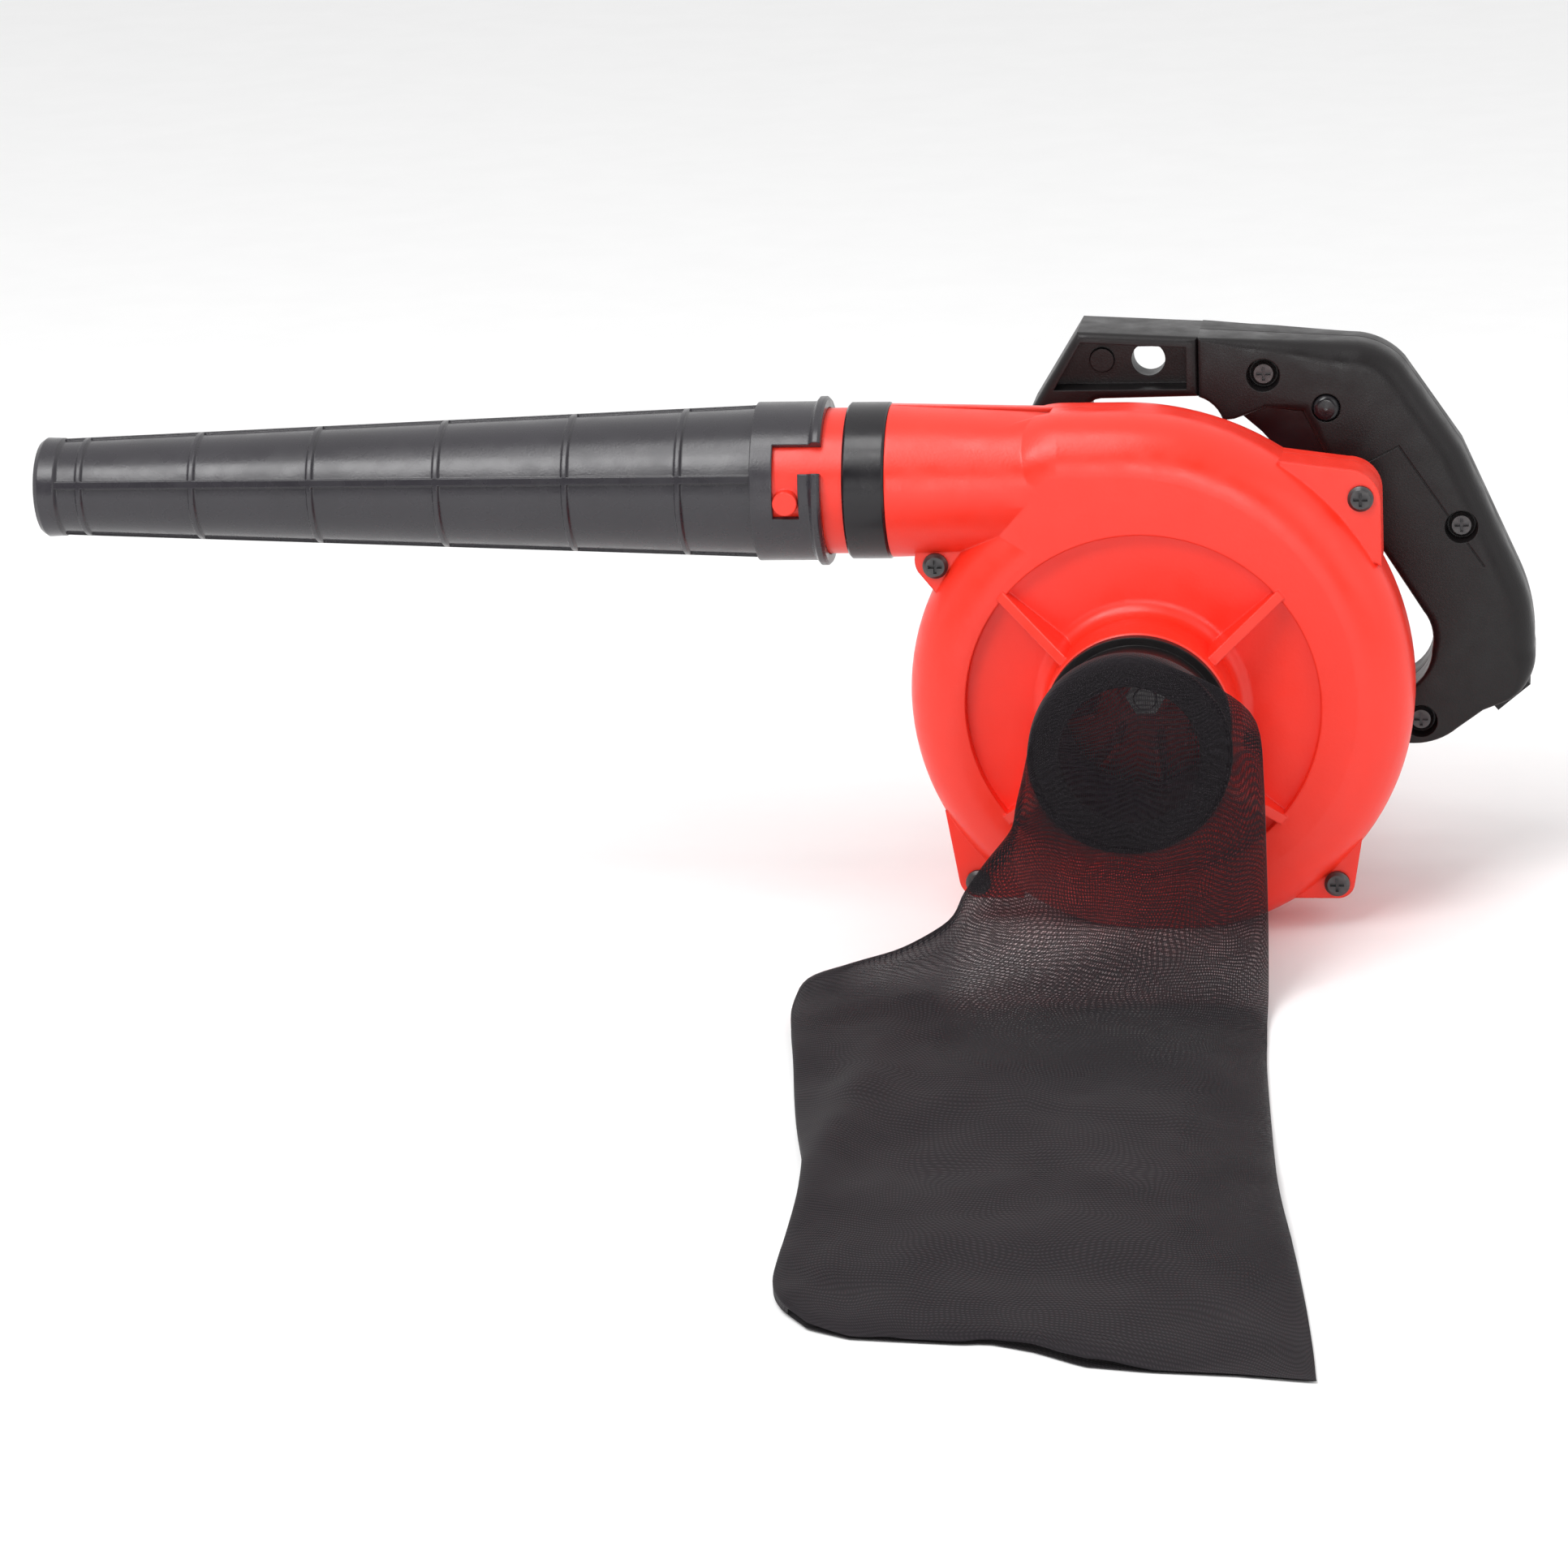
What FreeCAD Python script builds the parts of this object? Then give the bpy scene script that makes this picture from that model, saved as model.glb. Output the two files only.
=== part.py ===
import FreeCAD, Part
import math
import os
import re
import Sketcher

# Electric leaf blower with a collecting bag, in millimetres.
# +X points from the nozzle to the handle, -Y is the intake side, +Z is up. The origin lies on the flat
# base, under the fan's axis, in the plane where the two halves of the fan casing meet.

SIZES = {
    # fan casing: the volute's reach from the fan's axis, and its shell
    "axis_height": 78.0,
    "scroll_left": 78.0,
    "scroll_bottom": 82.5,
    "scroll_right": 88.0,
    "scroll_top": 95.6,
    "front_depth": 24.0,
    "rear_depth": 22.0,
    "casing_wall": 2.4,
    "casing_rounding": 18.0,
    "tongue_rise": 60.0,
    "shoulder": 26.0,
    # outlet duct and neck
    "duct_height": 71.5,
    "duct_radius": 25.3,
    "duct_face": 82.3,
    "duct_fade": 2.0,
    "duct_fade_radius": 23.2,
    "neck_radius": 24.0,
    "neck_end": 124.0,
    "neck_wall": 2.4,
    "band_width": 14.0,
    "band_radius": 25.8,
    # bayonet between neck and nozzle
    "pin_radius": 4.0,
    "pin_place": 114.8,
    "pin_drop": 1.1,
    "pin_top": 27.4,
    "pin_play": 0.3,
    "unlock_angle": 32.0,
    # nozzle
    "nozzle_play": 0.3,
    "nozzle_wall": 1.9,
    "mouth_place": 103.2,
    "socket_end": 126.5,
    "tip_place": 371.0,
    "tip_radius": 15.0,
    "taper_radius": 24.2,
    "outlet_radius": 12.8,
    "outlet_length": 12.0,
    "lip_rise": 1.7,
    "ring_rise": 0.9,
    "ring_width": 2.6,
    # intake collar and dish
    "dish_radius": 58.2,
    "dish_depth": 4.0,
    "collar_radius": 31.1,
    "collar_bore": 27.7,
    "collar_reach": 44.0,
    "collar_blend": 5.0,
    "rib_width": 3.4,
    "rib_angle": 40.0,
    # casing lugs and their screws
    "lug_front": 13.0,
    "lug_rear": 6.0,
    "screw_head": 4.2,
    "screw_head_height": 2.4,
    "screw_shank": 1.9,
    "screw_play": 0.2,
    # motor
    "motor_radius": 44.0,
    "motor_wall": 2.4,
    "motor_end": 112.0,
    "flange_radius": 53.0,
    "flange_thickness": 3.0,
    "flange_screws": 48.5,
    "cap_thickness": 8.0,
    "stator_radius": 38.0,
    "stator_bore": 22.6,
    "stator_start": 44.0,
    "stator_length": 36.0,
    "armature_radius": 22.0,
    "commutator_radius": 11.0,
    "commutator_length": 15.0,
    "brush_place": 94.0,
    "brush_gap": 0.3,
    "shaft_radius": 4.0,
    "shaft_start": -13.0,
    "bearing_radius": 11.0,
    "bearing_width": 7.0,
    "front_bearing": 23.0,
    "foot_width": 44.0,
    "foot_start": 84.0,
    "foot_length": 20.0,
    # impeller
    "impeller_radius": 62.0,
    "impeller_plate": 14.0,
    "impeller_depth": 26.0,
    "blade_width": 1.8,
    # handle
    "handle_near": 30.0,
    "handle_parting": 45.0,
    "handle_far": 60.0,
    "handle_wall": 2.6,
    "seam_place": 16.5,
    "web_near": 40.0,
    "web_far": 50.0,
    "hang_radius": 5.3,
    "trigger_width": 11.4,
    "trigger_angle": 23.0,
    "trigger_play": 0.35,
    "lock_radius": 4.4,
    "lock_x": 58.5,
    "lock_z": 87.4,
    "lock_flange": 1.4,
    "gland_x": 115.6,
    "gland_z": -9.4,
    "gland_angle": 40.0,
    "gland_half": 7.0,
    "gland_length": 6.5,
    "gland_bore": 3.6,
    # bag and its adapter
    "adapter_radius": 27.4,
    "adapter_wall": 2.2,
    "adapter_start": 24.0,
    "adapter_end": 77.0,
    "adapter_opening": 22.5,
    "bag_flange": 31.6,
    "bag_gap": 0.4,
    "bag_thickness": 9.0,
    "bag_end": 388.0,
}

doc = FreeCAD.newDocument("leaf_blower")
sheet = doc.addObject("Spreadsheet::Sheet", "sizes")
for row, (alias, value) in enumerate(SIZES.items(), start=1):
    sheet.set(f"A{row}", alias)
    sheet.set(f"B{row}", str(value))
    sheet.setAlias(f"B{row}", alias)
doc.recompute()

NODES = []


# ---- how the document is built -------------------------------------------------------------------

def full(text):
    """An expression in which each size's name refers to the sheet."""
    def refer(found):
        return "sizes." + found[0] if found[0] in SIZES else found[0]
    return re.sub(r"[A-Za-z_]\w*", refer, str(text))


def size(text):
    """The present value of an expression."""
    return float(sheet.evalExpression(full(text)))


def new_body(label, place=("0", "0", "axis_height"), axis=None, angle="0", node=True):
    """A body whose place, and turn about one axis, follow the sheet."""
    body = doc.addObject("PartDesign::Body", label)
    body.Label = label
    if axis:
        turn = FreeCAD.Rotation(FreeCAD.Vector(*axis), size(angle))
        body.Placement = FreeCAD.Placement(FreeCAD.Vector(), turn)
        body.setExpression("Placement.Rotation.Angle", full(f"({angle}) * 1 deg"))
    for letter, text in zip("xyz", place):
        body.setExpression(f"Placement.Base.{letter}", full(text))
    if node:
        NODES.append(body)
    return body


def new_sketch(body, plane, offset="0", axis=None, angle="0"):
    """A sketch on one of the body's own planes, moved along its normal and turned about one axis."""
    drawing = body.newObject("Sketcher::SketchObject", body.Name + "_sketch")
    support = next(part for part in body.Origin.OriginFeatures if part.Role == plane)
    drawing.AttachmentSupport = (support, "")
    drawing.MapMode = "FlatFace"
    if axis:
        turn = FreeCAD.Rotation(FreeCAD.Vector(*axis), size(angle))
        drawing.AttachmentOffset = FreeCAD.Placement(FreeCAD.Vector(), turn)
        drawing.setExpression("AttachmentOffset.Rotation.Angle", full(f"({angle}) * 1 deg"))
    drawing.setExpression("AttachmentOffset.Base.z", full(offset))
    return drawing


def arc_between(start, end, radius):
    """The shorter arc from start to end; a negative radius turns clockwise."""
    chord = end - start
    across = FreeCAD.Vector(-chord.y, chord.x, 0).normalize()
    rise = math.sqrt(max(radius ** 2 - (chord.Length / 2) ** 2, 0))
    centre = (start + end) * 0.5 + across * math.copysign(rise, radius)
    first, last = (start, end) if radius > 0 else (end, start)
    angles = [math.atan2(point.y - centre.y, point.x - centre.x) for point in (first, last)]
    circle = Part.Circle(centre, FreeCAD.Vector(0, 0, 1), abs(radius))
    return Part.ArcOfCircle(circle, angles[0], angles[1])


def draw(drawing, path):
    """A closed outline. A step (x, y) is reached by a straight line, and (x, y, radius) by an arc."""
    points = [FreeCAD.Vector(size(step[0]), size(step[1]), 0) for step in path]
    first = drawing.GeometryCount
    ends = []
    for index, step in enumerate(path):
        start, end = points[index - 1], points[index]
        radius = size(step[2]) if len(step) == 3 else None
        if radius is None:
            drawing.addGeometry(Part.LineSegment(start, end))
        else:
            drawing.addGeometry(arc_between(start, end, radius))
        ends.append((2, 1) if radius is not None and radius < 0 else (1, 2))
    for index, step in enumerate(path):
        edge = first + index
        after = (index + 1) % len(path)
        entry = ends[after][0]
        drawing.addConstraint(Sketcher.Constraint("Coincident", edge, ends[index][1], first + after, entry))
        for kind, place, text in (("DistanceX", points[index].x, step[0]),
                                  ("DistanceY", points[index].y, step[1])):
            rule = drawing.addConstraint(
                Sketcher.Constraint(kind, -1, 1, edge, ends[index][1], place))
            drawing.setExpression(f"Constraints[{rule}]", full(text))
        if len(step) == 3:
            rule = drawing.addConstraint(Sketcher.Constraint("Radius", edge, abs(size(step[2]))))
            drawing.setExpression(f"Constraints[{rule}]", full(f"abs({step[2]})"))
    return drawing


def circle(drawing, x, y, radius):
    """A circle whose centre and radius follow the sheet."""
    centre = FreeCAD.Vector(size(x), size(y), 0)
    edge = drawing.addGeometry(Part.Circle(centre, FreeCAD.Vector(0, 0, 1), size(radius)))
    for kind, place, text in (("DistanceX", centre.x, x), ("DistanceY", centre.y, y)):
        rule = drawing.addConstraint(Sketcher.Constraint(kind, -1, 1, edge, 3, place))
        drawing.setExpression(f"Constraints[{rule}]", full(text))
    rule = drawing.addConstraint(Sketcher.Constraint("Radius", edge, size(radius)))
    drawing.setExpression(f"Constraints[{rule}]", full(radius))
    return drawing


def rectangle(low_x, low_y, high_x, high_y):
    return [(low_x, low_y), (high_x, low_y), (high_x, high_y), (low_x, high_y)]


def volume(body):
    return 0 if body.Shape.isNull() else body.Shape.Volume


def extrude(kind, drawing, length, backwards=False, midplane=False):
    """A Pad or a Pocket along the sketch's normal, or against it. A pocket has to change the volume."""
    body = drawing.getParentGeoFeatureGroup()
    before = volume(body)
    feature = body.newObject("PartDesign::" + kind, body.Name + "_" + kind.lower())
    feature.Profile = drawing
    feature.setExpression("Length", full(length))
    feature.Reversed = backwards if kind == "Pad" else not backwards
    feature.Midplane = midplane
    doc.recompute()
    if kind == "Pocket" and before - volume(body) < 0.01:
        raise RuntimeError(body.Label + ": a pocket cuts nothing")
    return feature


def pad(drawing, length, backwards=False, midplane=False):
    return extrude("Pad", drawing, length, backwards, midplane)


def pocket(drawing, length, backwards=False, midplane=False):
    return extrude("Pocket", drawing, length, backwards, midplane)


def spin(kind, drawing, axis, angle="360", midplane=False):
    """A Revolution or a Groove about one of the sketch's axes."""
    body = drawing.getParentGeoFeatureGroup()
    before = volume(body)
    feature = body.newObject("PartDesign::" + kind, body.Name + "_" + kind.lower())
    feature.Profile = drawing
    feature.ReferenceAxis = (drawing, [axis])
    feature.setExpression("Angle", full(angle))
    feature.Midplane = midplane
    doc.recompute()
    if kind == "Groove" and before - volume(body) < 0.01:
        raise RuntimeError(body.Label + ": a groove cuts nothing")
    return feature


def turned(label, path, place=("0", "0", "axis_height"), node=True):
    """A round piece about the fan's axis: steps of (radius, distance along Y)."""
    body = new_body(label, place, node=node)
    spin("Revolution", draw(new_sketch(body, "XY_Plane"), path), "V_Axis")
    return body


def ring_path(inner, outer, start, end):
    return [(inner, start), (outer, start), (outer, end), (inner, end)]


def round_edges(body, wanted, radius):
    """A fillet on the edges of the body's last feature that pass a test."""
    base = body.Tip
    names = [f"Edge{number}" for number, edge in enumerate(base.Shape.Edges, start=1) if wanted(edge)]
    feature = body.newObject("PartDesign::Fillet", body.Name + "_fillet")
    feature.Base = (base, names)
    feature.setExpression("Radius", full(radius))
    doc.recompute()
    return feature


def lies_at(edge, y):
    """Whether the whole edge lies in the body's plane at this distance along Y."""
    box = edge.BoundBox
    return abs(box.YMin - y) < 0.01 and abs(box.YMax - y) < 0.01


def pattern(feature, count, axis="Y_Axis"):
    """Repeats a feature round one of the body's axes."""
    body = feature.getParentGeoFeatureGroup()
    copies = body.newObject("PartDesign::PolarPattern", body.Name + "_pattern")
    copies.Originals = [feature]
    support = next(part for part in body.Origin.OriginFeatures if part.Role == axis)
    copies.Axis = (support, [""])
    copies.Angle = 360
    copies.Occurrences = count
    body.Tip = copies
    doc.recompute()
    return copies


def group(label, master, places):
    """Separate copies of one fastener or fitting in a single node."""
    node = doc.addObject("Part::Feature", label)
    node.Label = label
    node.Shape = Part.makeCompound([master.Shape.transformed(place.toMatrix()) for place in places])
    NODES.append(node)
    return node


def at(x, y, z, axis=(0, 0, 1), angle=0):
    """A placement from expressions, with a plain turn."""
    turn = FreeCAD.Rotation(FreeCAD.Vector(*axis), angle)
    return FreeCAD.Placement(FreeCAD.Vector(size(x), size(y), size(z)), turn)


# ---- fan casing ----------------------------------------------------------------------------------

# The volute is three arcs, each tangent to the next. A flat base cuts across the lowest.
BOTTOM_X = "(scroll_bottom - scroll_left)"
RIGHT_R = f"(scroll_right - {BOTTOM_X})"
RIGHT_Z = f"({RIGHT_R} - scroll_bottom)"
TOP_R = f"(scroll_top - {RIGHT_Z})"
TOP_X = f"(scroll_right - {TOP_R})"


def scroll_path(inset, flat=True):
    """The volute's outline, moved inwards by inset, with or without its flat base."""
    left_r = f"(scroll_bottom - {inset})"
    left_x = f"({BOTTOM_X} - sqrt({left_r}^2 - tongue_rise^2))"
    right_r = f"({RIGHT_R} - {inset})"
    base = f"(axis_height - {inset})"
    lowest = [(BOTTOM_X, f"-{left_r}", left_r)]
    if flat:
        lowest = [
            (f"{BOTTOM_X} - sqrt({left_r}^2 - {base}^2)", f"-{base}", left_r),
            (f"{BOTTOM_X} + sqrt({right_r}^2 - ({base} + {RIGHT_Z})^2)", f"-{base}"),
        ]
    return [
        (left_x, "tongue_rise"),
        *lowest,
        (f"scroll_right - {inset}", RIGHT_Z, right_r),
        (TOP_X, f"scroll_top - {inset}", f"{TOP_R} - {inset}"),
        (f"{left_x} + shoulder - {inset}", f"scroll_top - {inset}"),
        (left_x, "scroll_top - shoulder", f"shoulder - {inset}"),
    ]


def duct_profile(body, inset):
    """Half the section of the duct, a cone that runs from the neck and fades into the volute's face."""
    return draw(new_sketch(body, "XY_Plane", "duct_height"), [
        ("-duct_face", "0"),
        ("-duct_face", f"duct_radius - {inset}"),
        ("-duct_fade", f"duct_fade_radius - {inset}"),
        ("-duct_fade", "0"),
    ])


# Each lug is an outline that starts and ends inside the volute; its screw stands near the corner.
LUGS = {
    "top": [("49.8", "60"), ("77.8", "44.6"), ("77.6", "66"), ("66.6", "77", "11"), ("45", "80")],
    "right_foot": [("40", "-50"), ("44", "-68.7"), ("62.4", "-68.7"), ("67.9", "-64.2", "5.6"),
                   ("71.2", "-44"), ("50", "-40")],
    "left_foot": [("-50", "-40"), ("-67.4", "-38.5"), ("-63.4", "-63.4"), ("-56.6", "-69", "6.8"),
                  ("-42", "-69"), ("-40", "-50")],
    "tongue": [("-60", "60"), ("-72.4", "53"), ("-73.6", "43.6", "8"), ("-66", "34"), ("-58", "40")],
}
LUG_SCREWS = [("-67.7", "45.8"), ("62.2", "-63.4"), ("71.2", "67.4"), ("-57", "-63.4")]


def casing_half(label, front):
    """One half shell of the casing. The front half lies at -Y and the rear half at +Y."""
    body = new_body(label)
    depth = "front_depth" if front else "rear_depth"
    backwards = not front
    pad(draw(new_sketch(body, "XZ_Plane"), scroll_path("0", flat=False)), depth, backwards)
    face_y = -size(depth) if front else size(depth)
    round_edges(body, lambda edge: lies_at(edge, face_y), "casing_rounding")
    spin("Revolution", duct_profile(body, "0"), "H_Axis")
    neck = circle(new_sketch(body, "YZ_Plane", "-duct_face"), "0", "duct_height", "neck_radius")
    pad(neck, "neck_end - duct_face", backwards=True)
    for outline in LUGS.values():
        drawing = draw(new_sketch(body, "XZ_Plane"), outline)
        pad(drawing, "lug_front" if front else "lug_rear", backwards)
    if front:
        add_intake(body)
    side = "1" if front else "-1"
    pin = circle(new_sketch(body, "XZ_Plane"), "-pin_place", f"duct_height - {side} * pin_drop", "pin_radius")
    pad(pin, "pin_top", backwards)
    other_half = rectangle("-neck_end - 10", "-axis_height - 20", "scroll_right + 20", "scroll_top + 20")
    pocket(draw(new_sketch(body, "XZ_Plane"), other_half), "60", backwards=front)
    below = rectangle("-60", "-axis_height - 20", "60", "-axis_height")
    pocket(draw(new_sketch(body, "XZ_Plane"), below), "60", backwards)
    hollow_casing(body, front)
    for x, z in LUG_SCREWS:
        radius = "screw_shank + screw_play" if front else "screw_shank"
        pocket(circle(new_sketch(body, "XZ_Plane"), x, z, radius), "lug_front + 5", backwards)
    return body


def below_shoulder(angle, depth):
    """The inset and the depth of a step whose corner lies one wall below the rounded shoulder."""
    reach = "(casing_rounding - casing_wall)"
    return (f"(casing_wall + {reach} * (1 - cos({angle})))",
            f"({depth} - casing_rounding + {reach} * sin({angle}))")


def hollow_casing(body, front):
    """The air's way: steps that follow the rounded shoulder, then the duct and the neck's bore."""
    backwards = not front
    depth = "front_depth" if front else "rear_depth"
    for angle in (0, 30, 48) if front else (0, 30, 60, 90):
        inset, reach = below_shoulder(angle, depth)
        pocket(draw(new_sketch(body, "XZ_Plane"), scroll_path(inset)), reach, backwards)
    if front:
        inset, reach = below_shoulder(70, depth)
        ring = draw(new_sketch(body, "XZ_Plane"), scroll_path(inset))
        circle(ring, "0", "0", "dish_radius + casing_wall")
        pocket(ring, reach)
    spin("Groove", duct_profile(body, "casing_wall"), "H_Axis")
    bore = circle(new_sketch(body, "YZ_Plane", "-duct_face + 0.5"), "0", "duct_height",
                  "neck_radius - neck_wall")
    pocket(bore, "neck_end - duct_face + 5", backwards=True)
    if front:
        inlet = circle(new_sketch(body, "XZ_Plane"), "0", "0", "collar_bore")
        pocket(inlet, "collar_reach + 5")


def add_intake(body):
    """The round dish in the front face, the collar in it and the four ribs that brace the collar."""
    dish = circle(new_sketch(body, "XZ_Plane", "front_depth"), "0", "0", "dish_radius")
    pocket(dish, "dish_depth", backwards=True)
    collar = circle(new_sketch(body, "XZ_Plane"), "0", "0", "collar_radius")
    pad(collar, "collar_reach")
    floor_y = -size("front_depth - dish_depth")
    reach_y = -size("collar_reach")
    reach = size("collar_radius") + 0.1

    def at_foot(edge):
        return lies_at(edge, floor_y) and edge.BoundBox.XMax < reach

    round_edges(body, at_foot, "collar_blend")
    round_edges(body, lambda edge: lies_at(edge, reach_y), "1.2")
    for number in range(4):
        sign = 1 if number % 2 == 0 else -1
        angle = f"{180 * (number // 2)} + {sign} * rib_angle"
        rib = draw(new_sketch(body, "XY_Plane", axis=(0, 1, 0), angle=f"-({angle})"), [
            ("collar_radius - 2", "-(front_depth - dish_depth - 2)"),
            ("collar_radius - 2", "-(collar_reach - 4.5)"),
            ("collar_radius + 1", "-(collar_reach - 5)"),
            ("dish_radius + 1.5", "-(front_depth + 0.4)"),
            ("dish_radius + 1.5", "-(front_depth - dish_depth - 2)"),
        ])
        pad(rib, "rib_width", midplane=True)


def make_rear_casing():
    """The rear half carries the motor's flange, the front bearing's seat and the cooling holes."""
    body = casing_half("rear_casing", front=False)
    back = new_sketch(body, "XZ_Plane", "-(rear_depth - casing_wall)")
    pad(circle(back, "0", "0", "bearing_radius + 3"), "front_bearing + bearing_width - rear_depth + casing_wall",
        backwards=True)
    seat = new_sketch(body, "XZ_Plane", "-front_bearing")
    pocket(circle(seat, "0", "0", "bearing_radius"), "30", backwards=True)
    way = new_sketch(body, "XZ_Plane", "-(rear_depth - casing_wall - 1)")
    pocket(circle(way, "0", "0", "shaft_radius + 2"), "30", backwards=True)
    vent = circle(new_sketch(body, "XZ_Plane", "-(rear_depth - casing_wall - 1)"), "27", "0", "4")
    pattern(pocket(vent, "10", backwards=True), 8)
    hole = circle(new_sketch(body, "XZ_Plane", "-(rear_depth - casing_wall - 1)"),
                  "flange_screws * 0.70711", "flange_screws * 0.70711", "screw_shank")
    pattern(pocket(hole, "10", backwards=True), 4)
    return body


def make_neck_band():
    """The ring that holds the two halves of the neck together."""
    body = new_body("neck_band", ("0", "0", "axis_height + duct_height"))
    near, far = "-duct_face", "-(duct_face + band_width)"
    spin("Revolution", draw(new_sketch(body, "XY_Plane"), [
        (near, "neck_radius"),
        (near, "band_radius - 0.8"),
        (f"{near} - 0.8", "band_radius"),
        (f"{far} + 0.8", "band_radius"),
        (far, "band_radius - 0.8"),
        (far, "neck_radius"),
    ]), "H_Axis")
    return body


# ---- screws --------------------------------------------------------------------------------------

def make_screw(label, shank_length):
    """A cross-head screw whose head rests on the plane Y = 0 and whose shank points to +Y."""
    body = turned(label, [
        ("0", "-screw_head_height"),
        ("screw_head - 1", "-screw_head_height"),
        ("screw_head", "-screw_head_height + 1"),
        ("screw_head", "0"),
        ("screw_shank", "0"),
        ("screw_shank", shank_length),
        ("0", shank_length),
    ], place=("0", "0", "0"), node=False)
    for half_x, half_z in (("2.3", "0.5"), ("0.5", "2.3")):
        recess = new_sketch(body, "XZ_Plane", "screw_head_height")
        draw(recess, rectangle(f"-{half_x}", f"-{half_z}", half_x, half_z))
        pocket(recess, "1.3", backwards=True)
    return body


def make_cover_screws():
    screw = make_screw("cover_screw", "lug_front + lug_rear")
    places = [at(x, "-lug_front", f"axis_height + {z}") for x, z in LUG_SCREWS]
    group("cover_screws", screw, places)


def make_motor_screws():
    """They go through the motor's flange into the rear casing, from behind."""
    screw = make_screw("motor_screw", "flange_thickness + casing_wall")
    side = "flange_screws * 0.70711"
    places = []
    for x in (side, "-" + side):
        for z in (side, "-" + side):
            places.append(at(x, "rear_depth + flange_thickness", f"axis_height + {z}", angle=180))
    group("motor_screws", screw, places)


def make_cap_screws():
    screw = make_screw("cap_screw", "cap_thickness + 8")
    places = []
    for angle in (90, 210, 330):
        reach = size("motor_radius - 6.5")
        x, z = reach * math.cos(math.radians(angle)), reach * math.sin(math.radians(angle))
        places.append(at(str(x), "motor_end + cap_thickness", f"axis_height + {z}", angle=180))
    group("cap_screws", screw, places)


# ---- motor ---------------------------------------------------------------------------------------

def make_motor_housing():
    """A round can behind the casing, with a flange, a stand and posts for the end cap's screws."""
    start, inner = "rear_depth", "motor_radius - motor_wall"
    body = turned("motor_housing", [
        (inner, start),
        ("flange_radius", start),
        ("flange_radius", f"{start} + flange_thickness"),
        ("motor_radius", f"{start} + flange_thickness"),
        ("motor_radius", "motor_end"),
        (inner, "motor_end"),
    ])
    for angle in (90, 210, 330):
        post = new_sketch(body, "XZ_Plane", "-motor_end")
        x = f"(motor_radius - 6.5) * cos({angle})"
        z = f"(motor_radius - 6.5) * sin({angle})"
        pad(circle(post, x, z, "4.4"), "14")
        hole = new_sketch(body, "XZ_Plane", "-motor_end")
        pocket(circle(hole, x, z, "screw_shank"), "9")
    for angle in (0, 90, 180, 270):
        rib = new_sketch(body, "XY_Plane", axis=(0, 1, 0), angle=str(angle + 45))
        draw(rib, rectangle("stator_radius", "stator_start", "motor_radius - 1",
                            "stator_start + stator_length"))
        pad(rib, "5", midplane=True)
    add_stand(body)
    holes = new_sketch(body, "YZ_Plane", "-60")
    pocket(circle(holes, "brush_place", "0", "7"), "120")
    screws = circle(new_sketch(body, "XZ_Plane", "-(rear_depth - 1)"),
                    "flange_screws * 0.70711", "flange_screws * 0.70711", "screw_shank + screw_play")
    pattern(pocket(screws, "flange_thickness + 2", backwards=True), 4)
    return body


def add_stand(body):
    """A flared leg under the motor, level with the casing's base."""
    drop = "axis_height"
    leg = draw(new_sketch(body, "XZ_Plane", "-foot_start"), [
        ("-foot_width / 2", f"-{drop}"),
        ("foot_width / 2", f"-{drop}"),
        ("foot_width / 2 - 6", f"-{drop} + 8"),
        ("foot_width / 2 - 9", "-(motor_radius - 7)"),
        ("-(foot_width / 2 - 9)", "-(motor_radius - 7)"),
        ("-(foot_width / 2 - 6)", f"-{drop} + 8"),
    ])
    pad(leg, "foot_length", backwards=True)
    clear = new_sketch(body, "XZ_Plane", "-(foot_start - 1)")
    pocket(circle(clear, "0", "0", "motor_radius - motor_wall"), "foot_length + 2", backwards=True)


def make_end_cap():
    """The motor's rear cover: the second bearing's seat inside, radial air slots and screw holes."""
    body = turned("end_cap", [
        ("0", "motor_end + 2"),
        ("bearing_radius", "motor_end + 2"),
        ("bearing_radius", "motor_end + 2 - bearing_width"),
        ("bearing_radius + 3", "motor_end + 2 - bearing_width"),
        ("bearing_radius + 3", "motor_end"),
        ("motor_radius", "motor_end"),
        ("motor_radius", "motor_end + cap_thickness - 4"),
        ("motor_radius - 4", "motor_end + cap_thickness", "4"),
        ("0", "motor_end + cap_thickness"),
    ])
    slot = draw(new_sketch(body, "XZ_Plane", "-(motor_end - 1)"),
                rectangle("bearing_radius + 6", "-1.6", "motor_radius - 11", "1.6"))
    pattern(pocket(slot, "cap_thickness + 2", backwards=True), 12)
    for angle in (90, 210, 330):
        x, z = f"(motor_radius - 6.5) * cos({angle})", f"(motor_radius - 6.5) * sin({angle})"
        hole = new_sketch(body, "XZ_Plane", "-(motor_end - 1)")
        pocket(circle(hole, x, z, "screw_shank + screw_play"), "cap_thickness + 2", backwards=True)
    return body


def make_bearings():
    """Two sealed ball bearings. Their inner rings clear the shaft by a running fit."""
    bore = "shaft_radius + 0.05"
    rear = "motor_end + 2 - bearing_width"
    for label, start in (("front_bearing", "front_bearing"), ("rear_bearing", rear)):
        end = f"{start} + bearing_width"
        turned(label + "_unit", [
            (bore, start),
            ("6", start),
            ("6", f"{start} + 0.5"),
            ("bearing_radius - 1.8", f"{start} + 0.5"),
            ("bearing_radius - 1.8", start),
            ("bearing_radius", start),
            ("bearing_radius", end),
            ("bearing_radius - 1.8", end),
            ("bearing_radius - 1.8", f"{end} - 0.5"),
            ("6", f"{end} - 0.5"),
            ("6", end),
            (bore, end),
        ])


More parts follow.
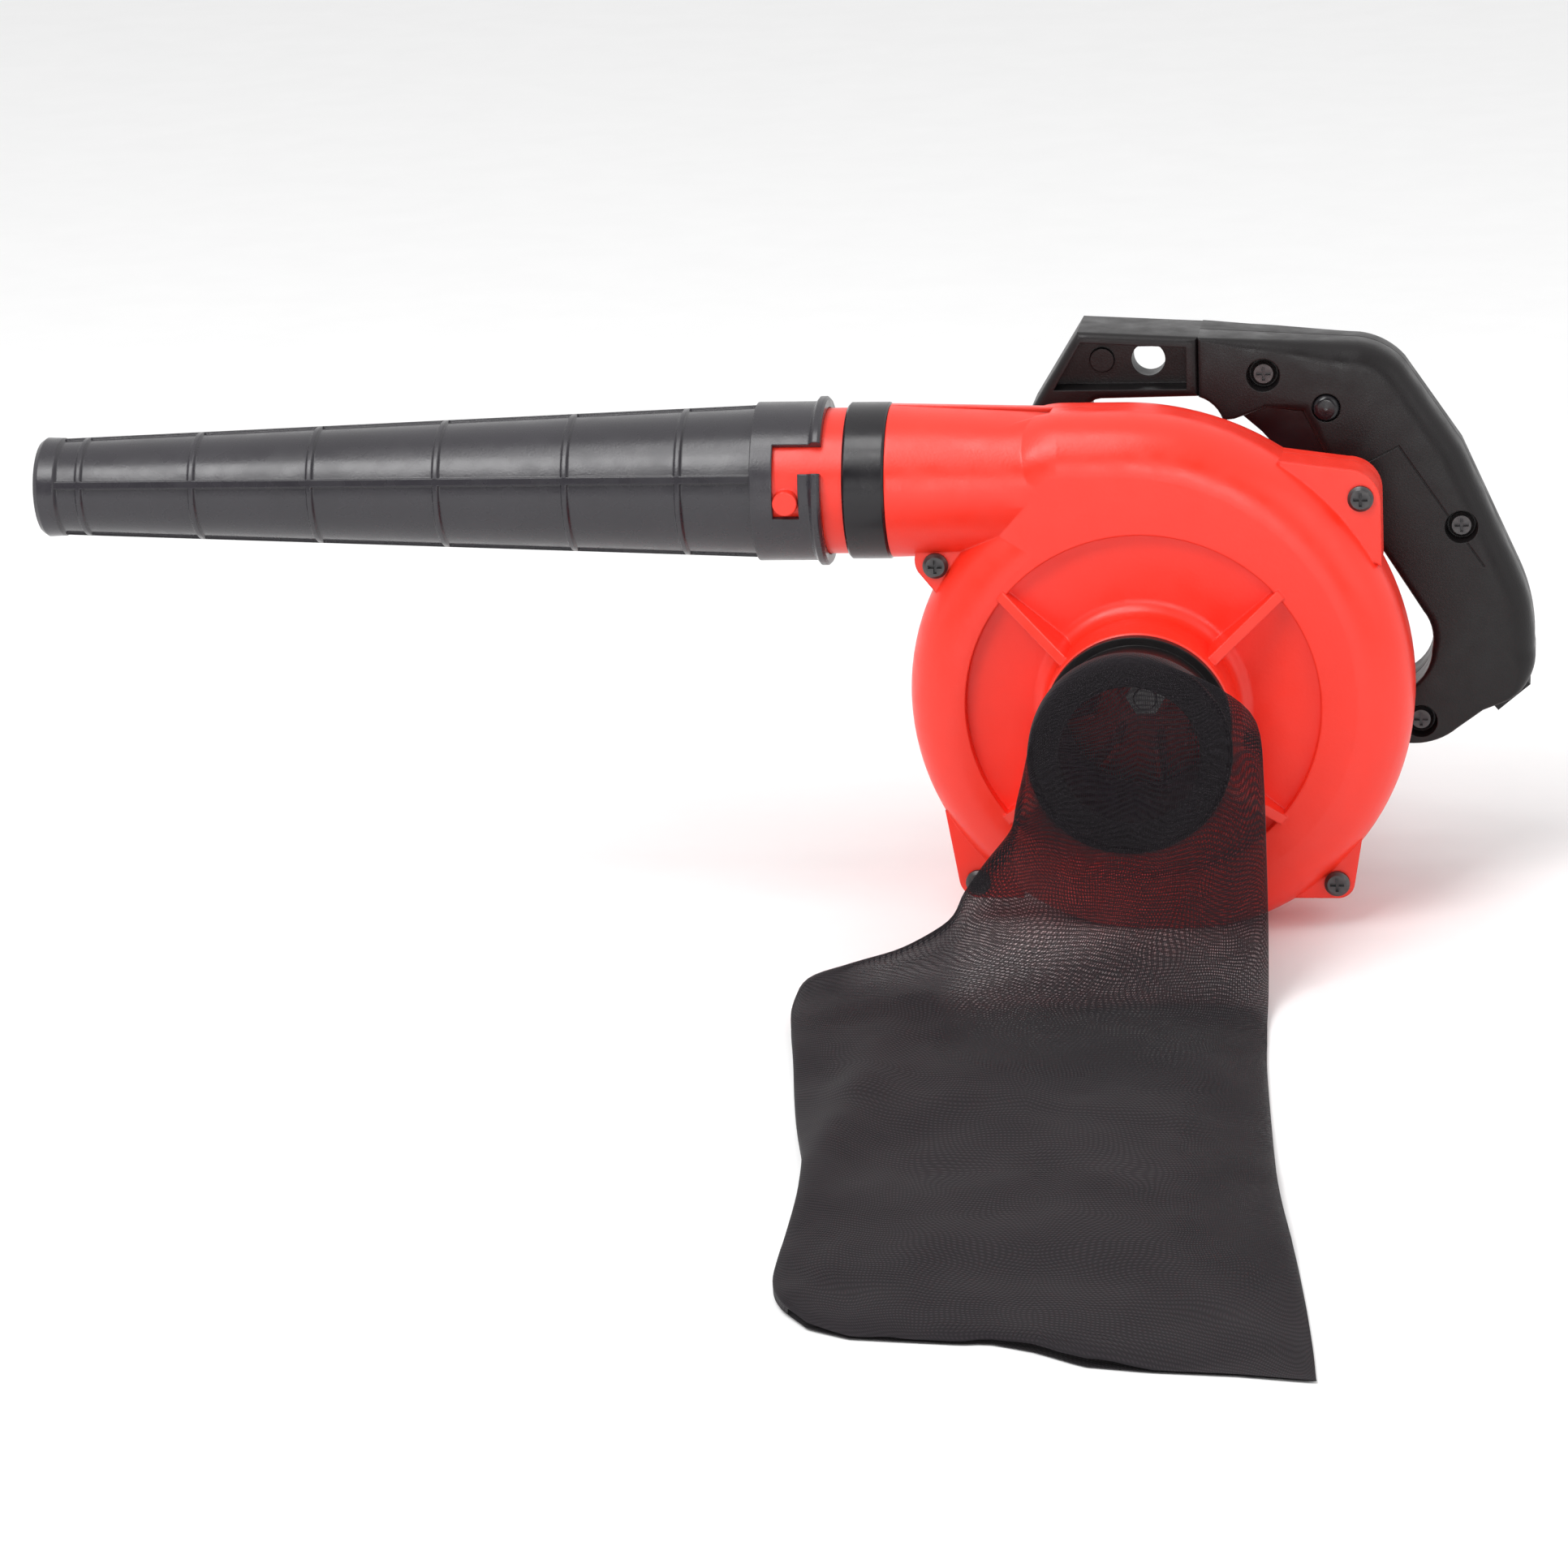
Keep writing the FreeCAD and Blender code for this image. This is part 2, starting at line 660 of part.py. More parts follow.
def make_stator():
    """The iron ring with two pole shoes' windings that bulge past its ends."""
    end = "stator_start + stator_length"
    core = turned("stator_core", ring_path("stator_bore + 7", "stator_radius", "stator_start", end))
    for angle in (0, 180):
        pole = new_sketch(core, "XY_Plane", axis=(0, 1, 0), angle=str(angle))
        draw(pole, rectangle("stator_bore - 2", "stator_start", "stator_bore + 8", end))
        pad(pole, "18", midplane=True)
    bore = new_sketch(core, "XZ_Plane", "-(stator_start - 1)")
    pocket(circle(bore, "0", "0", "stator_bore"), "stator_length + 2", backwards=True)
    coils = new_body("field_windings")
    for angle in (90, 270):
        coil = new_sketch(coils, "XY_Plane", axis=(0, 1, 0), angle=str(angle))
        draw(coil, rectangle("stator_bore + 0.4", "stator_start - 4", "stator_bore + 5", f"{end} + 4"))
        pad(coil, "16", midplane=True)


def make_brush_gear():
    """Guides through the housing's wall, carbon brushes in them, springs and outer caps."""
    inner = "commutator_radius + 2"
    tube = new_body("brush_holder", ("0", "brush_place", "0"), node=False)
    pad(circle(new_sketch(tube, "YZ_Plane", inner), "0", "0", "6.8"), f"motor_radius + 1 - ({inner})")
    bore = draw(new_sketch(tube, "YZ_Plane", inner), rectangle("-3.2", "-4", "3.2", "4"))
    pocket(bore, "60")
    brush = new_body("brush", ("0", "brush_place", "0"), node=False)
    block = new_sketch(brush, "YZ_Plane", "commutator_radius + brush_gap")
    pad(draw(block, rectangle("-3.1", "-3.9", "3.1", "3.9")), "14")
    spring = new_body("brush_coil", ("0", "brush_place", "0"), node=False)
    coil = new_sketch(spring, "YZ_Plane", "commutator_radius + brush_gap + 14")
    circle(circle(coil, "0", "0", "2.6"), "0", "0", "1.6")
    pad(coil, "motor_radius + 1 - commutator_radius - brush_gap - 14")
    cap = new_body("brush_cap", ("0", "brush_place", "0"), node=False)
    pad(circle(new_sketch(cap, "YZ_Plane", "motor_radius + 1"), "0", "0", "8"), "2.5")
    slot = new_sketch(cap, "YZ_Plane", "motor_radius + 3.5")
    pocket(draw(slot, rectangle("-5", "-0.7", "5", "0.7")), "1.2", backwards=True)
    for label, master in (("brush_holders", tube), ("carbon_brushes", brush),
                          ("brush_springs", spring), ("brush_caps", cap)):
        group(label, master, [at("0", "0", "axis_height"), at("0", "2 * brush_place", "axis_height",
                                                              angle=180)])


def make_rotor():
    """All that the shaft carries: iron, windings, commutator, impeller and its nut."""
    turned("shaft", [
        ("0", "shaft_start"),
        ("shaft_radius - 0.5", "shaft_start"),
        ("shaft_radius", "shaft_start + 0.5"),
        ("shaft_radius", "motor_end + 1"),
        ("0", "motor_end + 1"),
    ])
    end = "stator_start + stator_length"
    core = turned("armature_core", ring_path("shaft_radius", "armature_radius", "stator_start", end))
    slot = draw(new_sketch(core, "XZ_Plane", "-(stator_start - 1)"),
                rectangle("armature_radius - 7", "-1", "armature_radius + 1", "1"))
    pattern(pocket(slot, "stator_length + 2", backwards=True), 12)
    windings = new_body("armature_windings", ("0", "0", "0"), node=False)
    spin("Revolution", draw(new_sketch(windings, "XY_Plane"),
                            ring_path("shaft_radius", "armature_radius - 3", "stator_start - 5",
                                      "stator_start")), "V_Axis")
    group("armature_end_windings", windings, [
        at("0", "0", "axis_height"),
        at("0", f"{end} + 5 - stator_start", "axis_height"),
    ])
    turned("commutator", ring_path("shaft_radius", "commutator_radius", f"{end} + 5",
                                   f"{end} + 5 + commutator_length"))
    make_impeller()


def make_impeller():
    """A back plate with a hub and backward-curved blades, open towards the intake."""
    plate = "impeller_plate"
    body = turned("impeller", [
        ("shaft_radius", f"{plate} + 2"),
        ("shaft_radius", "-6"),
        ("8", "-6"),
        ("10", f"{plate} - 4"),
        ("14", plate, "-4.5"),
        ("impeller_radius", plate),
        ("impeller_radius", f"{plate} + 2"),
    ])
    blade = draw(new_sketch(body, "XZ_Plane", f"-{plate}"), [
        ("18", "-blade_width / 2"),
        ("impeller_radius - 1", "-14 - blade_width / 2", "-80"),
        ("impeller_radius - 1", "-14 + blade_width / 2"),
        ("18", "blade_width / 2", "80 + blade_width"),
    ])
    pattern(pad(blade, "impeller_depth"), 9)
    nut = new_body("impeller_nut")
    sides = [(f"6.5 * cos({60 * turn})", f"6.5 * sin({60 * turn})") for turn in range(6)]
    outline = draw(new_sketch(nut, "XZ_Plane", "6"), sides)
    circle(outline, "0", "0", "shaft_radius")
    pad(outline, "5")


# ---- handle --------------------------------------------------------------------------------------

TOP_EDGE = [("seam_place", "111.4"), ("69", "108.2"), ("84", "100", "-24")]
GRIP_BACK = [("102.6", "72.5"), ("121.4", "30"), ("126.6", "4", "-60"), ("117.5", "-13.6", "-16")]
LOWER_END = [("109.5", "-16.8"), ("101", "-23"), ("86.4", "-28.4", "-22"), ("20", "-27")]
LOOP = [("20", "-5"), ("78", "-11"), ("92.6", "4", "15"), ("89.7", "17.3", "16"), ("70", "49"),
        ("58", "71"), ("50.5", "85.6")]
HOOK = [("38.6", "87.6"), ("28.2", "83.8"), ("24.4", "83.4"), ("seam_place", "91.4", "12")]


def grip_path():
    """The loop of the handle behind the seam, from the top bar round the grip to the lower arm."""
    return TOP_EDGE + GRIP_BACK + LOWER_END + LOOP + HOOK


def bracket_path():
    """The straight front of the handle, with its leg down to the motor housing."""
    return [("seam_place", "91.4"), ("-16", "90.9"), ("-21", "86", "5"), ("-14", "20"), ("-32", "20"),
            ("-39.8", "87"), ("-23.4", "113.6"), ("seam_place", "111.4")]


def sit_on_motor(body):
    """Cuts the handle's two ends to the motor housing's round wall."""
    saddle = new_sketch(body, "XZ_Plane", "-(handle_near - 5)")
    pocket(circle(saddle, "0", "0", "motor_radius"), "handle_far - handle_near + 10", backwards=True)


def hollow_handle(body, near):
    """Thins the grip's walls, from the parting plane, by an outline that keeps clear of the edges."""
    wall = "handle_wall"
    outline = [
        ("seam_place + 4", f"111 - {wall} - 1.5"),
        ("68", "107.6 - 2 * handle_wall"),
        ("81", "98", "-20"),
        ("98.5", "72"),
        ("117", "28"),
        ("121.5", "4", "-60"),
        ("113", "-8", "-14"),
        ("97", "-17"),
        ("84", "-22", "-20"),
        ("48", "-21.5"),
        ("48", "-13.5"),
        ("80", "-16"),
        ("98", "5", "20"),
        ("94.2", "19", "18"),
        ("74.5", "51.5"),
        ("63", "73"),
        ("53", "91"),
        ("seam_place + 4", "95.5"),
    ]
    drawing = draw(new_sketch(body, "XZ_Plane", "-handle_parting"), outline)
    pocket(drawing, "handle_parting - handle_near - handle_wall", backwards=not near)
    along, up = "cos(trigger_angle)", "sin(trigger_angle)"
    opening = [
        (f"29.4 - 1 * {along}", f"83.4 - 1 * {up} + 0.6"),
        ("60.0", "96.6"),
        ("71.5", "66.0"),
        ("58", "60"),
        ("46", "58"),
    ]
    drawing = draw(new_sketch(body, "XZ_Plane", "-handle_parting"), opening)
    pocket(drawing, "trigger_width / 2 + trigger_play", backwards=not near)


def make_handle_cover():
    """The near half of the grip, screwed to the far half."""
    body = new_body("handle_cover")
    outline = draw(new_sketch(body, "XZ_Plane", "-handle_parting"), grip_path())
    pad(outline, "handle_parting - handle_near")
    sit_on_motor(body)
    hollow_handle(body, near=True)
    button = new_sketch(body, "XZ_Plane", "-(handle_near - 2)")
    pocket(circle(button, "lock_x", "lock_z", "lock_radius + 0.35"), "10", backwards=True)
    inside = new_sketch(body, "XZ_Plane", "-(handle_near + handle_wall)")
    pocket(circle(inside, "lock_x", "lock_z", "lock_radius + lock_flange + 0.4"), "6.5", backwards=True)
    add_handle_bosses(body, near=True)
    gland_seat(body, near=True)


HANDLE_SCREWS = [("37.9", "98.6"), ("102.6", "46.6"), ("88.8", "-20.4")]


def add_handle_bosses(body, near):
    """Posts for the three screws that close the grip, with their counterbores in the near half."""
    for x, z in HANDLE_SCREWS:
        post = circle(new_sketch(body, "XZ_Plane", "-handle_parting"), x, z, "screw_head + 2.2")
        depth = "handle_parting - handle_near - 1" if near else "handle_far - handle_parting - 1"
        pad(post, depth, backwards=not near)
        radius = "screw_shank + screw_play" if near else "screw_shank"
        hole = circle(new_sketch(body, "XZ_Plane", "-handle_parting"), x, z, radius)
        pocket(hole, "20" if near else "12", backwards=not near)
        if near:
            well = circle(new_sketch(body, "XZ_Plane", "-(handle_near + 5)"), x, z, "screw_head + 0.6")
            pocket(well, "10")


def make_handle_base():
    """The far half of the grip and the whole front bracket, whose web carries the hanging hole."""
    body = new_body("handle_base")
    pad(draw(new_sketch(body, "XZ_Plane", "-handle_parting"), grip_path()),
        "handle_far - handle_parting", backwards=True)
    bracket = draw(new_sketch(body, "XZ_Plane", "-handle_far"), bracket_path())
    pad(bracket, "handle_far - handle_near")
    recess = [("-31.6", "94.2"), ("12.6", "94.2"), ("12.6", "108.2"), ("-22.3", "110.2")]
    near_side = draw(new_sketch(body, "XZ_Plane", "-(handle_near - 1)"), recess)
    pocket(near_side, "web_near - handle_near + 1", backwards=True)
    far_side = draw(new_sketch(body, "XZ_Plane", "-web_far"), recess)
    pocket(far_side, "handle_far - web_far + 1", backwards=True)
    hole = circle(new_sketch(body, "XZ_Plane", "-(web_near - 1)"), "-0.6", "102.4", "hang_radius")
    pocket(hole, "web_far - web_near + 2", backwards=True)
    boss = circle(new_sketch(body, "XZ_Plane", "-web_near"), "-16", "102.4", "4")
    pad(boss, "2")
    sit_on_motor(body)
    hollow_handle(body, near=False)
    rest = circle(new_sketch(body, "XZ_Plane", "-handle_far"), "71.6", "77.3", "3.2")
    pad(rest, "handle_far - handle_parting + 3")
    add_handle_bosses(body, near=False)
    gland_seat(body, near=False)


def make_handle_screws():
    screw = make_screw("handle_screw", "handle_parting - handle_near - 5 + 10")
    group("handle_screws", screw, [at(x, "handle_near + 5", f"axis_height + {z}") for x, z in HANDLE_SCREWS])


def make_trigger():
    """A finger blade that slides into the grip, square to its slope."""
    body = new_body("trigger")
    blade = draw(new_sketch(body, "XZ_Plane", "-(handle_parting + trigger_width / 2)"), [
        ("29.8", "83.7"),
        ("38.9", "87"),
        ("49.6", "90.6"),
        ("60.6", "64.7"),
        ("49.4", "60"),
        ("44.5", "68.5", "-14"),
        ("36.8", "77.5"),
    ])
    pad(blade, "trigger_width")
    return body


def make_switch_gear():
    """The mains switch behind the trigger, the suppressor, the lock button and both springs."""
    switch = new_body("switch_body")
    pad(draw(new_sketch(switch, "XZ_Plane", "-(handle_parting + 6.5)"),
             rectangle("58", "91.5", "75", "100")), "13")
    capacitor = new_body("capacitor")
    pad(circle(new_sketch(capacitor, "XZ_Plane", "-(handle_parting + 7)"), "101", "25", "5"), "14")
    turned("lock_button", [
        ("0", "handle_near - 1.4"),
        ("lock_radius - 1.6", "handle_near - 1.2"),
        ("lock_radius", "handle_near + 0.6", "1.9"),
        ("lock_radius", "handle_near + handle_wall + 0.4"),
        ("lock_radius + lock_flange", "handle_near + handle_wall + 0.4"),
        ("lock_radius + lock_flange", "handle_near + handle_wall + 1.8"),
        ("0", "handle_near + handle_wall + 1.8"),
    ], place=("lock_x", "0", "axis_height + lock_z"))


def make_spring(label, wire, coil, length, turns, place, axis=None, angle="0"):
    """A coil spring along the body's own Z: a round wire swept along a helix."""
    body = new_body(label, place, axis, angle)
    drawing = new_sketch(body, "XZ_Plane")
    circle(drawing, coil, wire, wire)
    helix = body.newObject("PartDesign::AdditiveHelix", body.Name + "_helix")
    helix.Profile = drawing
    helix.ReferenceAxis = (drawing, ["V_Axis"])
    helix.Mode = "pitch-turns-angle"
    helix.setExpression("Pitch", full(f"({length} - 2 * {wire}) / {turns}"))
    helix.Turns = turns
    doc.recompute()
    return body


def make_springs():
    """The trigger's return spring, along its slide, and the lock button's, along Y."""
    along, up = "cos(trigger_angle)", "sin(trigger_angle)"
    x, z = f"57.8 + 0.3 * {along}", f"71.3 + 0.3 * {up}"
    make_spring("trigger_spring", "0.4", "2.6", "11", 5,
                (x, "handle_parting", f"axis_height + {z}"), (0, 1, 0), "90 - trigger_angle")
    make_spring("lock_spring", "0.3", "2.6", "3.6", 3,
                ("lock_x", "handle_near + handle_wall + 2.1", "axis_height + lock_z"), (1, 0, 0), "-90")


def gland_seat(body, near):
    """The square seat in each half of the grip, in its lower rear corner, that holds the cord's gland."""
    out = ("sin(gland_angle)", "-cos(gland_angle)")
    side = ("cos(gland_angle)", "sin(gland_angle)")
    seat = []
    for along, across in (("0", "-1"), ("0", "1"), ("20", "1"), ("20", "-1")):
        seat.append(tuple(f"{start} + {along} * {out[number]} + {across} * gland_half * {side[number]}"
                          for number, start in enumerate(("gland_x", "gland_z"))))
    drawing = draw(new_sketch(body, "XZ_Plane", "-handle_parting"), seat)
    pocket(drawing, "gland_half", backwards=not near)


def make_cord_gland():
    """The square rubber bush where a mains lead would enter."""
    body = new_body("cord_gland", ("gland_x", "handle_parting", "axis_height + gland_z"),
                    axis=(0, 1, 0), angle="180 - gland_angle")
    block = rectangle("-gland_half", "-gland_half", "gland_half", "gland_half")
    pad(draw(new_sketch(body, "XY_Plane"), block), "gland_length")
    pocket(circle(new_sketch(body, "XY_Plane", "-1"), "0", "0", "gland_bore"), "gland_length + 2")


# ---- nozzle --------------------------------------------------------------------------------------

def nozzle_radius(distance):
    """The outer radius of the long taper at a distance from the fan's axis."""
    return (f"(tip_radius + (taper_radius - tip_radius)"
            f" * (tip_place - ({distance})) / (tip_place - socket_end))")


RING_PLACES = ("355.3", "316.1", "275.3", "232.2", "188.6", "150.7")


def make_nozzle():
    """The long taper with its rings and four ribs, and the slotted socket that locks on the neck."""
    body = new_body("nozzle", ("0", "0", "axis_height + duct_height"))
    socket = "(neck_radius + nozzle_play)"
    outside = f"({socket} + nozzle_wall)"
    path = [
        ("-tip_place", "outlet_radius"),
        ("-tip_place", "tip_radius + 0.6"),
        ("-(tip_place - 1.6)", "tip_radius + 1.7"),
        ("-(tip_place - 7)", "tip_radius + 1.5"),
        ("-(tip_place - 8)", nozzle_radius("tip_place - 8")),
    ]
    for place in RING_PLACES:
        for shift, rise in (("ring_width / 2", "0"), ("ring_width / 2 - 0.6", "ring_rise"),
                            ("-(ring_width / 2 - 0.6)", "ring_rise"), ("-ring_width / 2", "0")):
            distance = f"({place} + {shift})"
            path.append((f"-{distance}", f"{nozzle_radius(distance)} + {rise}"))
    path += [
        ("-socket_end", nozzle_radius("socket_end")),
        ("-socket_end", outside),
        ("-(mouth_place + 4)", outside),
        ("-(mouth_place + 2.6)", f"{outside} + lip_rise"),
        ("-(mouth_place + 0.8)", f"{outside} + lip_rise"),
        ("-mouth_place", f"{outside} + lip_rise - 0.8"),
        ("-mouth_place", socket),
        ("-(neck_end + 1)", socket),
        ("-(neck_end + 1)", f"{nozzle_radius('neck_end')} - nozzle_wall"),
        ("-(tip_place - outlet_length)", "outlet_radius"),
    ]
    spin("Revolution", draw(new_sketch(body, "XY_Plane"), path), "H_Axis")
    for number in range(4):
        rib = draw(new_sketch(body, "XY_Plane", axis=(1, 0, 0), angle=str(-15 + 90 * number)), [
            ("-(tip_place - 7.5)", f"-({nozzle_radius('tip_place - 7.5')} - 1)"),
            ("-(tip_place - 7.5)", f"-({nozzle_radius('tip_place - 7.5')} + ring_rise)"),
            ("-socket_end", f"-({nozzle_radius('socket_end')} + ring_rise)"),
            ("-socket_end", f"-({nozzle_radius('socket_end')} - 1)"),
        ])
        pad(rib, "ring_width", midplane=True)
    cut_bayonet(body)
    return body


def cut_bayonet(body):
    """Two hooked slots: the pin enters along the axis, and the nozzle then turns to hold it."""
    half = "(pin_radius + pin_play)"
    rest = -2.6
    entry = f"({rest} + unlock_angle)"
    low, high = f"({rest} - 12.3)", f"({entry} + 11)"
    for turn in (0, 180):
        middle = f"-(({low} + {high}) / 2) + {turn}"
        travel = new_sketch(body, "XY_Plane", axis=(1, 0, 0), angle=middle)
        draw(travel, rectangle(f"-(pin_place + {half})", "-(neck_radius + 8)",
                               f"-(pin_place - {half})", "-(neck_radius - 2)"))
        spin("Groove", travel, "H_Axis", f"{high} - {low}", midplane=True)
        way_in = new_sketch(body, "XY_Plane", axis=(1, 0, 0), angle=f"-{entry} + {turn}")
        draw(way_in, rectangle(f"-(pin_place - {half} + 1)", "-(neck_radius + 8)", "-(mouth_place - 1)",
                               "-(neck_radius - 2)"))
        spin("Groove", way_in, "H_Axis", "22", midplane=True)


# ---- bag -----------------------------------------------------------------------------------------

def make_adapter():
    """The tube that plugs into the collar; the bag's hem grips behind its outer flange."""
    wall, start, end = "adapter_wall", "-adapter_start", "-adapter_end"
    stop = "-(collar_reach + 0.3)"
    return turned("bag_adapter", [
        (f"adapter_radius - {wall}", start),
        ("adapter_radius - 0.8", start),
        ("adapter_radius", f"{start} - 0.8"),
        ("adapter_radius", stop),
        ("collar_radius - 0.6", stop),
        ("collar_radius - 0.6", f"{stop} - 3"),
        ("adapter_radius + 0.4", f"{stop} - 3"),
        ("adapter_radius + 0.4", f"{end} + 5"),
        ("bag_flange - 0.6", f"{end} + 5"),
        ("bag_flange", f"{end} + 4.4"),
        ("bag_flange", f"{end} + 1"),
        ("bag_flange - 1", end),
        ("adapter_opening", end),
        ("adapter_opening", f"{end} + 2.4"),
        (f"adapter_radius - {wall}", f"{end} + 8"),
    ])


def make_bag_elastic():
    """The elastic in the bag's hem, round the adapter behind its flange."""
    grip = "adapter_radius + 0.4"
    return turned("bag_elastic", [
        (grip, "-(adapter_end - 5.4)"),
        (f"{grip} + 2.4", "-(adapter_end - 5.4)"),
        (f"{grip} + 2.4", "-(adapter_end - 11.4)"),
        (grip, "-(adapter_end - 11.4)"),
    ])


def make_dust_bag():
    """The empty bag: it drops from the adapter's flange and lies flat on the ground in front."""
    side = doc.addObject("Part::Feature", "bag_side")
    front = size("-(adapter_end + bag_gap)")
    top = size("axis_height + bag_flange")
    low = size("axis_height - bag_flange")
    end, thick = -size("bag_end"), size("bag_thickness")
    profile = [(front, top), (front - 8, top - 4), (front - 34, top - 46), (front - 62, thick + 14),
               (front - 96, thick + 2), (end + 4, thick), (end, thick - 4), (end, 0), (front + 14, 0),
               (front + 6, thick + 10), (front - 0, low)]
    points = [FreeCAD.Vector(-150, y, z) for y, z in profile]
    side.Shape = Part.Face(Part.makePolygon(points + points[:1])).extrude(FreeCAD.Vector(300, 0, 0))
    plan = doc.addObject("Part::Feature", "bag_plan")
    outline = [(-34, front + 14), (34, front + 14), (43, front - 20), (50, -160), (57, -255), (66, -316),
               (74, -372), (74, end), (40, end), (-20, end + 14), (-55, end + 20), (-70, end + 28),
               (-82, -345), (-84, -316), (-86, -270), (-96, -194), (-106, -128), (-105, front - 24),
               (-92, front - 18), (-64, front - 14), (-44, front)]
    points = [FreeCAD.Vector(x, y, -1) for x, y in outline]
    plan.Shape = Part.Face(Part.makePolygon(points + points[:1])).extrude(FreeCAD.Vector(0, 0, 200))
    bag = doc.addObject("Part::MultiCommon", "dust_bag")
    bag.Label = "dust_bag"
    bag.Shapes = [side, plan]
    NODES.append(bag)
    return bag


# ---- the whole -----------------------------------------------------------------------------------

def build():
    casing_half("front_cover", front=True)
    make_rear_casing()
    make_neck_band()
    make_cover_screws()
    make_motor_housing()
    make_motor_screws()
    make_end_cap()
    make_cap_screws()
    make_bearings()
    make_stator()
    make_brush_gear()
    make_rotor()
    make_handle_base()
    make_handle_cover()
    make_handle_screws()
    make_trigger()
    make_switch_gear()
    make_springs()
    make_cord_gland()
    make_nozzle()
    make_adapter()
    make_bag_elastic()
    make_dust_bag()


def check():
    """Stops before anything is written if an object or a node's shape is faulty."""
    doc.recompute()
    for item in doc.Objects:
        if {"Invalid", "Error"} & set(item.State):
            raise RuntimeError(f"{item.Label} is {item.State}")
    for node in NODES:
        if node.Shape.isNull() or not node.Shape.isValid() or not node.Shape.Solids:
            raise RuntimeError(node.Label + " has no sound shape")


build()
check()
os.makedirs("parts", exist_ok=True)
for node in NODES:
    node.Shape.exportStep(f"parts/{node.Label}.step")
print(len(NODES), "nodes")
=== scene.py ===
import math
import bmesh
import bpy
from mathutils import Matrix, Vector, noise


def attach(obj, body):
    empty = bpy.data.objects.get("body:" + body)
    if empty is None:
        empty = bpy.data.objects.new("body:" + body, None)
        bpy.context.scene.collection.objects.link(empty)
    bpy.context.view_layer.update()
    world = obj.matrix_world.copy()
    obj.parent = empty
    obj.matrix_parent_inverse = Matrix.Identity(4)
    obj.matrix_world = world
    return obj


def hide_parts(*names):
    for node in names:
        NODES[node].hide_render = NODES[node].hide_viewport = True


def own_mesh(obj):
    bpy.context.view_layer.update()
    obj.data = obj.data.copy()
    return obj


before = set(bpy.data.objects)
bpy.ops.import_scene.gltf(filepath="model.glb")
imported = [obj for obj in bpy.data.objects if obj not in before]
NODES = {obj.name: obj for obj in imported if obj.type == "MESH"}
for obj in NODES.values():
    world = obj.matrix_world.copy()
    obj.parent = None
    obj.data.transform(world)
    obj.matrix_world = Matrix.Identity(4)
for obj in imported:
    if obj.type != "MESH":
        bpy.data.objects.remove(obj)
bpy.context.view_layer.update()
MM = 0.001
AXIS = 78.0      # the fan's axis, in millimetres above the ground


# ---- mesh helpers --------------------------------------------------------------------------------

def new_piece(name, verts, faces, smooth=35.0):
    """A mesh object from points in millimetres, smooth except at edges sharper than an angle."""
    mesh = bpy.data.meshes.new(name)
    mesh.from_pydata([tuple(c * MM for c in p) for p in verts], [], faces)
    mesh.validate()
    piece = bpy.data.objects.new(name, mesh)
    bpy.context.scene.collection.objects.link(piece)
    tidy_normals(piece, smooth)
    return piece


def tidy_normals(piece, smooth=35.0):
    bm = bmesh.new()
    bm.from_mesh(piece.data)
    bmesh.ops.remove_doubles(bm, verts=bm.verts, dist=1e-6)
    bmesh.ops.recalc_face_normals(bm, faces=bm.faces)
    for face in bm.faces:
        face.smooth = True
    bm.to_mesh(piece.data)
    bm.free()
    piece.data.set_sharp_from_angle(angle=math.radians(smooth))


def apply_modifiers(piece):
    bpy.context.view_layer.update()
    depsgraph = bpy.context.evaluated_depsgraph_get()
    mesh = bpy.data.meshes.new_from_object(piece.evaluated_get(depsgraph))
    piece.modifiers.clear()
    piece.data = mesh


def cut(piece, cutters, operation="DIFFERENCE"):
    """Cuts other meshes out of a piece, or adds them to it, and removes them."""
    for cutter in cutters:
        change = piece.modifiers.new("cut", "BOOLEAN")
        change.operation = operation
        change.solver = "EXACT"
        change.object = cutter
        apply_modifiers(piece)
        bpy.data.objects.remove(cutter)
    tidy_normals(piece)


def loft(name, rings, caps=True, smooth=35.0):
    """A skin through rings of equally many points."""
    count = len(rings[0])
    verts = [p for ring in rings for p in ring]
    faces = []
    for i in range(len(rings) - 1):
        for j in range(count):
            k = (j + 1) % count
            faces.append((i * count + j, i * count + k, (i + 1) * count + k, (i + 1) * count + j))
    if caps:
        faces.append(tuple(reversed(range(count))))
        faces.append(tuple(range((len(rings) - 1) * count, len(rings) * count)))
    return new_piece(name, verts, faces, smooth)


def along_path(path, step=2.0):
    """Points along a closed outline of (x, z) and (x, z, radius) steps; a negative radius is clockwise."""
    points = []
    for index, move in enumerate(path):
        start, end = Vector(path[index - 1][:2]), Vector(move[:2])
        chord = end - start
        if len(move) == 3:
            radius = move[2]
            across = Vector((-chord.y, chord.x)).normalized()
            rise = math.sqrt(max(radius ** 2 - (chord.length / 2) ** 2, 0))
            centre = (start + end) / 2 + across * math.copysign(rise, radius)
            first = math.atan2(*reversed(start - centre))
            turn = math.atan2(*reversed(end - centre)) - first
            turn = (turn + math.pi) % (2 * math.pi) - math.pi
            count = max(2, round(abs(turn * radius) / step))
            for k in range(1, count + 1):
                angle = first + turn * k / count
                points.append(centre + abs(radius) * Vector((math.cos(angle), math.sin(angle))))
        else:
            count = max(1, round(chord.length / step / 2))
            points += [start + chord * k / count for k in range(1, count + 1)]
    return points


def inset(points, distance):
    """A clockwise outline moved inwards by a distance, one for all or one for each point."""
    result = []
    for index, point in enumerate(points):
        before = (point - points[index - 1]).normalized()
        after = (points[(index + 1) % len(points)] - point).normalized()
        side = Vector((before.y, -before.x)) + Vector((after.y, -after.x))
        side /= max(side.length_squared / 2, 0.5)
        amount = distance[index] if isinstance(distance, list) else distance
        result.append(point + side * amount)
    return result


